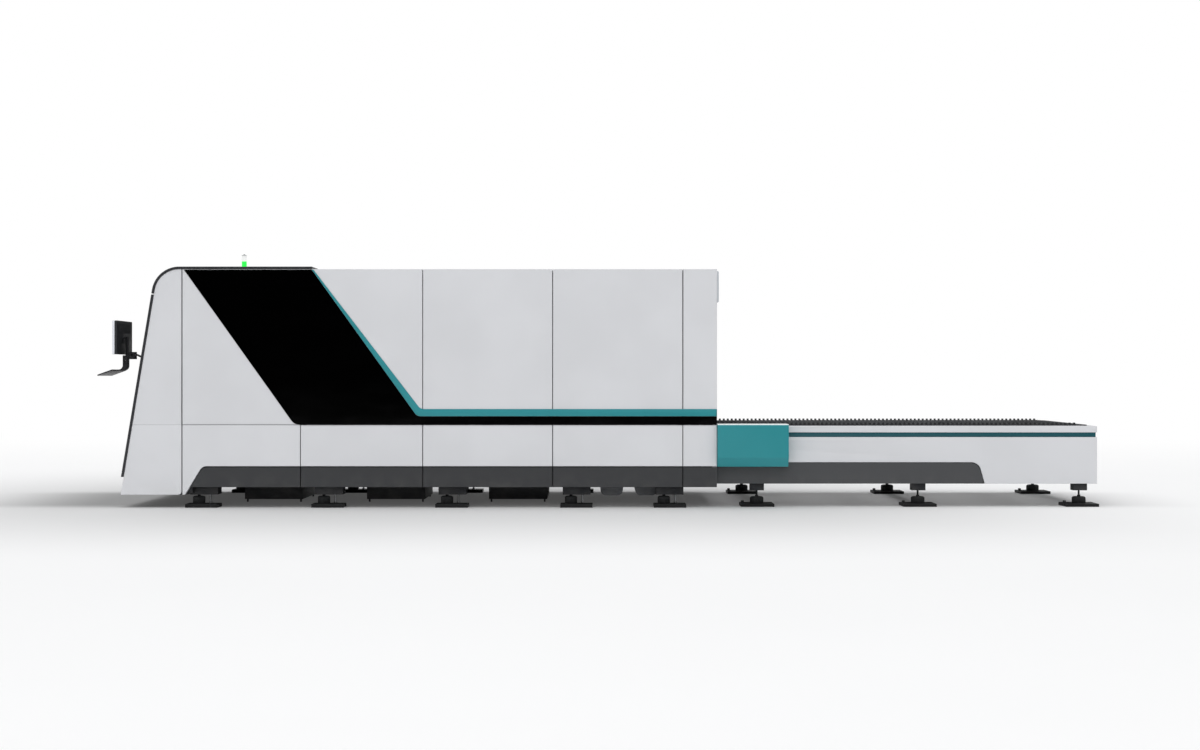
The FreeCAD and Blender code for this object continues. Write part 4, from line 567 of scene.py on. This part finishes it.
# ---------------------------------------------------------------- ducts and scrap carts
# Folded sheet ducts along the bed draw the fumes off between the feet. Three low carts of dark
# painted sheet stand under the bed on small wheels and catch what falls.

duct_paint = powder_coat("duct_paint", colour(84, 86, 89), rough=0.6, grain=0.1)
skin("extraction_ducts", 0.0015, "machine", duct_paint, "duct_paint")
cart_paint = powder_coat("cart_paint", colour(50, 51, 53), rough=0.6, grain=0.1)
for cart in ("scrap_cart_1", "scrap_cart_2", "scrap_cart_3"):
    skin(cart, 0.002, cart, cart_paint, "cart_paint")


# ---------------------------------------------------------------- exit doors and their housing
# Two light sheet-metal leaves slide up inside the exit wall, each stiffened by pressed ribs, and
# the lower one wipes the pallet with a black brush. A shallow folded housing covers their top.

LEAF_RIBS = 5
for leaf, proud in (("lift_door_lower", 0.008), ("lift_door_upper", 0.003)):
    low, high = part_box(leaf)
    skin(leaf, 0.002, leaf, light_paint, "light_paint")
    work = bmesh.new()
    for k in range(LEAF_RIBS):
        middle = low.y + (high.y - low.y) * (k + 0.5) / LEAF_RIBS
        add_block(work, (high.x - 0.004, middle - 0.035, low.z + 0.05),
                  (high.x + proud, middle + 0.035, high.z - 0.05), proud * 0.8)
    settle(mesh_piece(leaf + "_ribs", work), leaf, light_paint, "light_paint")
low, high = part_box("lift_door_lower")
brush = powder_coat("brush_bristle", colour(20, 20, 21), rough=0.9, grain=0.6)
work = bmesh.new()
add_block(work, (low.x + 0.004, low.y + 0.06, low.z - 0.018),
          (high.x - 0.004, high.y - 0.06, low.z))
settle(mesh_piece("lift_door_brush", work), "lift_door_lower", brush, "light_paint")
housing_paint = powder_coat("housing_paint", colour(198, 203, 207))
skin("door_head_housing", 0.003, "machine", housing_paint, "housing_paint", 3)


# ---------------------------------------------------------------- stack light
# The stack light on the roof is a grey plastic body with a lit green lens and a clear ribbed one
# above it, both moulded with fine rings, under a light plastic lid.

light_shell = powder_coat("light_shell", colour(92, 94, 97), rough=0.4)
base, lid = sorted(islands("stack_light_body"), key=lambda pair: pair[0].z)
post = (base[0] + base[1]) / 2
radius = (base[1].x - base[0].x) / 2
base_steps = [(0.0, radius), (0.004, radius), (0.006, radius * 0.8), (0.034, radius * 0.8),
              (0.036, radius), (0.0395, radius), (0.040, radius * 0.97)]
work = bmesh.new()
add_turned(work, (post.x, post.y, base[0].z), (0, 0, 1), base_steps, 40)
add_turned(work, (post.x, post.y, lid[1].z - 0.006), (0, 0, 1),
           [(0.0, 0.009), (0.005, 0.009), (0.006, 0.006)], 24)
settle(smooth_sides(mesh_piece("stack_light_base", work), 50.0), "machine", light_shell,
       "light_shell", "stack_light_body")
lid_plastic = powder_coat("lid_plastic", colour(222, 225, 226), rough=0.3)
lid_steps = [(0.0, radius * 0.97), (0.002, radius), (0.0045, radius * 0.9),
             (0.0065, radius * 0.55)]
work = bmesh.new()
add_turned(work, (post.x, post.y, lid[0].z), (0, 0, 1), lid_steps, 40)
settle(smooth_sides(mesh_piece("stack_light_lid", work), 50.0), "machine", lid_plastic,
       "light_shell")

RING_HEIGHT = 0.005
RING_WAVES = 900.0


def ribbed_lens(name, node):
    """A lens the size of the CAD node, its side moulded into fine rings."""
    low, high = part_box(node)
    radius = (high.x - low.x) / 2
    rings = round((high.z - low.z) / RING_HEIGHT)
    step = (high.z - low.z) / rings
    steps = [(0.0, radius * 0.93)]
    for k in range(rings):
        steps += [((k + 0.5) * step, radius * 0.995), ((k + 1) * step, radius * 0.93)]
    work = bmesh.new()
    middle = (low + high) / 2
    add_turned(work, (middle.x, middle.y, low.z), (0, 0, 1), steps, 32)
    return smooth_sides(mesh_piece(name, work), 75.0)


green = Recipe("green_lens")
green_lens = green.surface(
    base_color=colour(30, 235, 70),
    roughness=0.2,
    emission_color=green.mix(green.noise(60.0), colour(40, 240, 70), colour(70, 255, 100)),
    emission_strength=0.75,
    normal=green.bump(green.math("SINE", green.axis("Z") * RING_WAVES), 0.4),
)
settle(ribbed_lens("stack_light_green_rings", "stack_light_green"), "machine",
       green_lens, "green_lens", "stack_light_green")

clear = Recipe("clear_lens")
clear_lens = clear.surface(
    base_color=clear.mix(clear.noise(40.0), colour(210, 216, 216), colour(236, 240, 240)),
    roughness=0.15,
    alpha=0.12,
    normal=clear.bump(clear.math("SINE", clear.axis("Z") * RING_WAVES), 0.4),
)
settle(ribbed_lens("stack_light_clear_rings", "stack_light_clear"), "machine",
       clear_lens, "clear_lens", "stack_light_clear")


# ---------------------------------------------------------------- front door window and handle
# The door in the leaning front has a dark green-black laser safety window in a rubber gasket,
# and a long polished bar handle on two stand-offs.

pane = Recipe("door_glass")
door_glass = pane.surface(
    base_color=pane.mix(pane.noise(2.0), colour(16, 26, 18), colour(22, 34, 24)),
    roughness=0.06,
    specular_ior_level=0.6,
    alpha=0.93,
)
skin("front_door_window", 0.001, "front_door", door_glass, "door_glass")

# The gasket is made upright, with the front's plane at x = 0, and then leaned into its place.
FRONT_SLOPE = 0.1656
FRONT_FOOT = -4.027
GASKET_WIDTH = 0.014
rubber = powder_coat("window_rubber", colour(18, 18, 19), rough=0.7, grain=0.3)
low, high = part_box("front_door_window")
lean = math.atan(FRONT_SLOPE)
foot, head = low.z / math.cos(lean), high.z / math.cos(lean)
left, right = low.y - GASKET_WIDTH, high.y + GASKET_WIDTH
work = bmesh.new()
for one, two in (((left, foot - GASKET_WIDTH), (right, foot)),
                 ((left, head), (right, head + GASKET_WIDTH)),
                 ((left, foot), (low.y, head)),
                 ((high.y, foot), (right, head))):
    add_block(work, (-0.003, *one), (0.001, *two), 0.0012)
leaned = Matrix.Translation((FRONT_FOOT, 0.0, 0.0)) @ Matrix.Rotation(lean, 4, "Y")
bmesh.ops.transform(work, matrix=leaned, verts=work.verts)
settle(mesh_piece("window_gasket", work), "front_door", rubber, "door_glass")
handle_steel = bare_metal("handle_steel", colour(205, 206, 208), 0.22, (1.0, 5.0, 1.0),
                          grain=0.03)
skin("front_door_handle", 0.0015, "front_door", handle_steel, "handle_steel")


# ---------------------------------------------------------------- console
# A bracket on the front and an arm of folded steel carry a curved post with the keyboard tray
# and a tilting monitor. Their edges are only just broken, because the joints are a close fit.

console_paint = powder_coat("console_paint", colour(26, 27, 30), rough=0.45, shine=0.4)
for node, body in (("console_bracket", "machine"), ("console_arm", "console_arm"),
                   ("console_post", "console_head"), ("keyboard_tray", "console_head")):
    skin(node, 0.0004, body, console_paint, "console_paint")


# ---------------------------------------------------------------- emergency stop
# A small steel box on the leaning front carries the red mushroom button, with the usual yellow
# disc behind it.

STOP_FACE = -3.8848
STOP_DISC = [(0.0, 0.029), (0.0012, 0.029), (0.0016, 0.027)]
skin("stop_box", 0.001, "machine", console_paint, "console_paint")
low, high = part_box("emergency_stop")
work = bmesh.new()
add_turned(work, (STOP_FACE, (low.y + high.y) / 2, (low.z + high.z) / 2), (-1, 0, 0), STOP_DISC,
           40)
stop_yellow = powder_coat("stop_yellow", colour(232, 190, 30), rough=0.4)
settle(smooth_sides(mesh_piece("stop_disc", work), 40.0), "machine", stop_yellow,
       "console_paint")
stop_red = powder_coat("stop_red", colour(200, 30, 24), rough=0.3)
skin("emergency_stop", 0.001, "emergency_stop", stop_red, "stop_red")


# ---------------------------------------------------------------- keyboard
# The keyboard is a thin dark case on the sloping tray, with five rows of moulded key caps that
# taper towards their tops. The top of the case is lowered to make room for them.

SLOPE = 0.36
KEY_RISE = 0.004
ROWS = 5
COLUMNS = 17
SPACE_BAR_AT = 4
SPACE_BAR_WIDTH = 6
key_plastic = powder_coat("key_plastic", colour(17, 18, 19), rough=0.6, shine=0.3)
low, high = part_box("keyboard")
case = crisp("keyboard", 0.0006)
for vert in case.data.vertices:
    if vert.co.z - SLOPE * (vert.co.x - low.x) > low.z + 0.006:
        vert.co.z -= KEY_RISE
settle(case, "console_head", key_plastic, "key_plastic", "keyboard")
tilted = Matrix.Rotation(-math.atan(SLOPE), 4, "Y")
top = high.z - KEY_RISE - SLOPE * (high.x - low.x)
span = (high.y - low.y - 0.016) / COLUMNS
rise = ((high.x - low.x) / math.cos(math.atan(SLOPE)) - 0.014) / ROWS
work = bmesh.new()
for row in range(ROWS):
    for column in range(COLUMNS):
        if row == 0 and SPACE_BAR_AT < column < SPACE_BAR_AT + SPACE_BAR_WIDTH:
            continue
        wide = SPACE_BAR_WIDTH if (row, column) == (0, SPACE_BAR_AT) else 1
        start = low.y + 0.008 + column * span
        front = 0.007 + row * rise
        for vert in bmesh.ops.create_cube(work, size=1.0)["verts"]:
            on_top = vert.co.z > 0
            inset = 0.0018 if on_top else 0.0008
            near = 0.5 + math.copysign(0.5, vert.co.x)
            side = 0.5 + math.copysign(0.5, vert.co.y)
            vert.co = tilted @ Vector((front + inset + near * (rise - 2 * inset), 0.0,
                                       KEY_RISE * 0.92 if on_top else -0.0004))
            vert.co += Vector((low.x, start + inset + side * (span * wide - 2 * inset), top))
settle(mesh_piece("key_caps", work), "console_head", key_plastic, "key_plastic")


# ---------------------------------------------------------------- monitor
# The monitor has a dark moulded back with cooling ribs and a mounting plate, and a light front
# frame with five small keys. The display shows a plain drawing of nested parts.

COOLING_RIBS = 16
MONITOR_KEYS = 5
monitor_dark = powder_coat("monitor_dark", colour(34, 36, 39), rough=0.5)
skin("monitor_back", 0.002, "monitor", monitor_dark, "monitor_dark")
monitor_light = powder_coat("monitor_light", colour(214, 216, 222), rough=0.4)
skin("monitor_front", 0.002, "monitor", monitor_light, "monitor_light")
low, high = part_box("monitor_front")
back_face = high.x + 0.020
middle = (low.y + high.y) / 2
work = bmesh.new()
for k in range(COOLING_RIBS):
    across = middle + (k - (COOLING_RIBS - 1) / 2) * 0.024
    add_block(work, (back_face - 0.001, across - 0.004, 1.470),
              (back_face + 0.002, across + 0.004, 1.552), 0.0008)
add_block(work, (back_face - 0.001, middle - 0.055, 1.380),
          (back_face + 0.003, middle + 0.055, 1.458), 0.0015)
settle(mesh_piece("monitor_ribs", work), "monitor", monitor_dark, "monitor_dark")
work = bmesh.new()
for k in range(MONITOR_KEYS):
    across = middle + (k - (MONITOR_KEYS - 1) / 2) * 0.022
    add_block(work, (low.x - 0.0012, across - 0.006, low.z + 0.009),
              (low.x + 0.001, across + 0.006, low.z + 0.015), 0.0005)
settle(mesh_piece("monitor_keys", work), "monitor", monitor_dark, "monitor_dark")

# The display, in metres along Y and Z: the sheet with its parts, a list beside it, and a bar
# over both. The sheet and the list are ruled into squares and lines by their counts per metre.
SHEET_ACROSS = (-1.075, -0.735)
LIST_ACROSS = (-0.715, -0.620)
PANEL_LEVELS = (1.335, 1.520)
BAR_LEVELS = (1.530, 1.545)
PARTS_PER_METRE = 18.0
LINES_PER_METRE = 30.0
glass = Recipe("display")
along = glass.axis("Y")
rise = glass.axis("Z")
sheet = along.within(*SHEET_ACROSS) * rise.within(*PANEL_LEVELS)
column = glass.math("FRACT", along * PARTS_PER_METRE) - 0.5
line = glass.math("FRACT", rise * PARTS_PER_METRE) - 0.5
radius = glass.math("SQRT", column * column + line * line)
parts = radius.within(0.30, 0.36) + radius.within(0.10, 0.14)
ruled = glass.math("FRACT", rise * LINES_PER_METRE).above(0.35)
panel = along.within(*LIST_ACROSS) * rise.within(*PANEL_LEVELS) * ruled
picture = glass.mix(sheet * (1.0 - parts), colour(16, 30, 48), colour(150, 168, 182))
picture = glass.mix(panel + rise.within(*BAR_LEVELS), picture, colour(52, 112, 140))
display = glass.surface(
    base_color=colour(10, 12, 16),
    roughness=glass.noise(8.0) * 0.04 + 0.08,
    emission_color=picture,
    emission_strength=0.6,
)
skin("monitor_screen", 0.0, "monitor", display, "display")


# ---------------------------------------------------------------- floor, backdrop and light
# The machine stands in a white studio: a pale floor that holds the soft shadow, with more shadow
# and a little light painted onto it for the camera, a pure white backdrop, and broad, even light
# from the front and from overhead. Polished surfaces mirror a dark room towards the front and the
# white backdrop everywhere else.

BLACK = (0.0, 0.0, 0.0, 1.0)
WHITE = (1.0, 1.0, 1.0, 1.0)
floor_mesh = bpy.data.meshes.new("floor")
floor_mesh.from_pydata([(-60, -20, 0), (60, -20, 0), (60, 60, 0), (-60, 60, 0)], [], [(0, 1, 2, 3)])
floor = in_scene("floor", floor_mesh)
ground = Recipe("floor")
across = ground.axis("X")
depth = ground.axis("Y")
is_camera = ground.ray("Is Camera Ray")
is_glossy = ground.ray("Is Glossy Ray")

# How much darker than white the floor is drawn, as painted shadow: a broad painted shadow before
# the machine, one behind it, a band along its own line at both ends, and a trace of painted shade
# over the near floor.
flank = across * -1.0
before_it = depth.ramp(-6.2, -1.0) * (1.0 - depth.ramp(-0.5, 1.2))
painted_shadow_in_front = before_it * (1.0 - across.ramp(1.0, 5.6)) * (1.0 - flank.ramp(2.5, 8.5)) * 0.15
painted_shadow_behind = (1.0 - depth.ramp(0.3, 6.5)) * depth.ramp(-0.5, 1.2)
painted_shadow_behind = painted_shadow_behind * (1.0 - flank.ramp(3.8, 7.6)) * 0.13 * (1.0 - across.ramp(1.0, 4.0))
in_line = depth.ramp(-1.3, -0.7) * (1.0 - depth.ramp(0.7, 1.3))
painted_shadow_at_ends = (1.0 - flank.ramp(4.2, 5.7)) * 0.19 * (1.0 - across.ramp(-3.0, 0.0))
painted_shadow_at_ends = painted_shadow_at_ends + (1.0 - across.ramp(4.2, 5.4)) * 0.06 * across.ramp(3.0, 4.2)
near_floor = depth.ramp(-12.0, -6.5) * 0.015
kept = 1.0 - painted_shadow_in_front - painted_shadow_behind - in_line * painted_shadow_at_ends - near_floor

# Only camera rays meet those painted shadows. Every other ray meets a plain near-white floor.
clean = ground.mix(ground.noise(0.6, 2.0), colour(252, 252, 252), colour(254, 254, 254))
toned = ground.mix(ground.math("POWER", kept, 2.2), BLACK, clean)
painted = ground.mix(is_camera, colour(250, 250, 250), toned)
lit = ground.add("ShaderNodeBsdfDiffuse", {}, {"Color": painted})
glow = ground.add("ShaderNodeEmission", {}, {"Color": WHITE, "Strength": 1.0})

# How much of the floor is drawn as plain white: a little under the machine, as painted light that
# brightens its shadow there, and all of it towards the edges. Mirrors see the white at the far
# edge, and the camera sees all of it.
painted_light_under = in_line * 0.065 + depth.ramp(0.8, 1.4) * (1.0 - depth.ramp(1.8, 3.2)) * 0.05
painted_light_under = painted_light_under * across.ramp(-4.4, -4.0) * (1.0 - across.ramp(4.0, 4.3))
edges = ground.math("ABSOLUTE", across).ramp(9.0, 18.0)
edges = ground.math("MAXIMUM", edges, (depth * -1.0).ramp(13.0, 20.0))
far_back = depth.ramp(2.0, 18.0)
white = (painted_light_under + ground.math("MAXIMUM", edges, far_back)) * is_camera + far_back * is_glossy
ground.add_output(ground.blend(white, lit, glow))
floor_mesh.materials.append(ground.material)

# The world is white to the camera. Mirrors see it dark low down towards the front, and the
# machine is lit by an even, slightly cool fill.
world = bpy.data.worlds.new("studio")
bpy.context.scene.world = world
studio = Recipe("studio", world)
north = studio.axis("Y")
up = studio.axis("Z")
bright = 1.0 - (1.0 - up.ramp(0.10, 0.60)) * (1.0 - north.ramp(-0.15, 0.30))


def backdrop(tint, strength):
    """One even background of the world."""
    return studio.add("ShaderNodeBackground", {}, {"Color": tint, "Strength": strength})


mirrored = backdrop(WHITE, bright * 0.92 + 0.01)
fill = backdrop((0.985, 0.99, 1.0, 1.0), 0.62)
seen = backdrop(WHITE, 1.0)
inner = studio.blend(studio.ray("Is Glossy Ray"), fill, mirrored)
studio.add_output(studio.blend(studio.ray("Is Camera Ray"), inner, seen), "World")


def soft_sun(name, place, spread, strength, mirrored):
    """A wide distant lamp that shines from place towards the machine."""
    lamp = bpy.data.lights.new(name, "SUN")
    lamp.angle = math.radians(spread)
    lamp.energy = strength
    holder = in_scene(name, lamp)
    holder.rotation_euler = Vector(place).to_track_quat("Z", "Y").to_euler()
    holder.visible_glossy = mirrored


soft_sun("front_sun", (-0.15, -1.0, 0.30), 50.0, 0.85, mirrored=False)
soft_sun("top_sun", (0.05, -0.25, 1.0), 70.0, 0.95, mirrored=True)


# ---------------------------------------------------------------- camera
# One level camera far in front of the long side, as in the photo.

lens = bpy.data.cameras.new("camera")
lens.lens = 59.3
lens.sensor_width = 36.0
camera = in_scene("camera", lens)
camera.location = (0.040, -17.750, 1.115)
camera.rotation_euler = (math.radians(90.0), 0.0, 0.0)
bpy.context.scene.camera = camera
bpy.context.scene.view_settings.view_transform = "Standard"
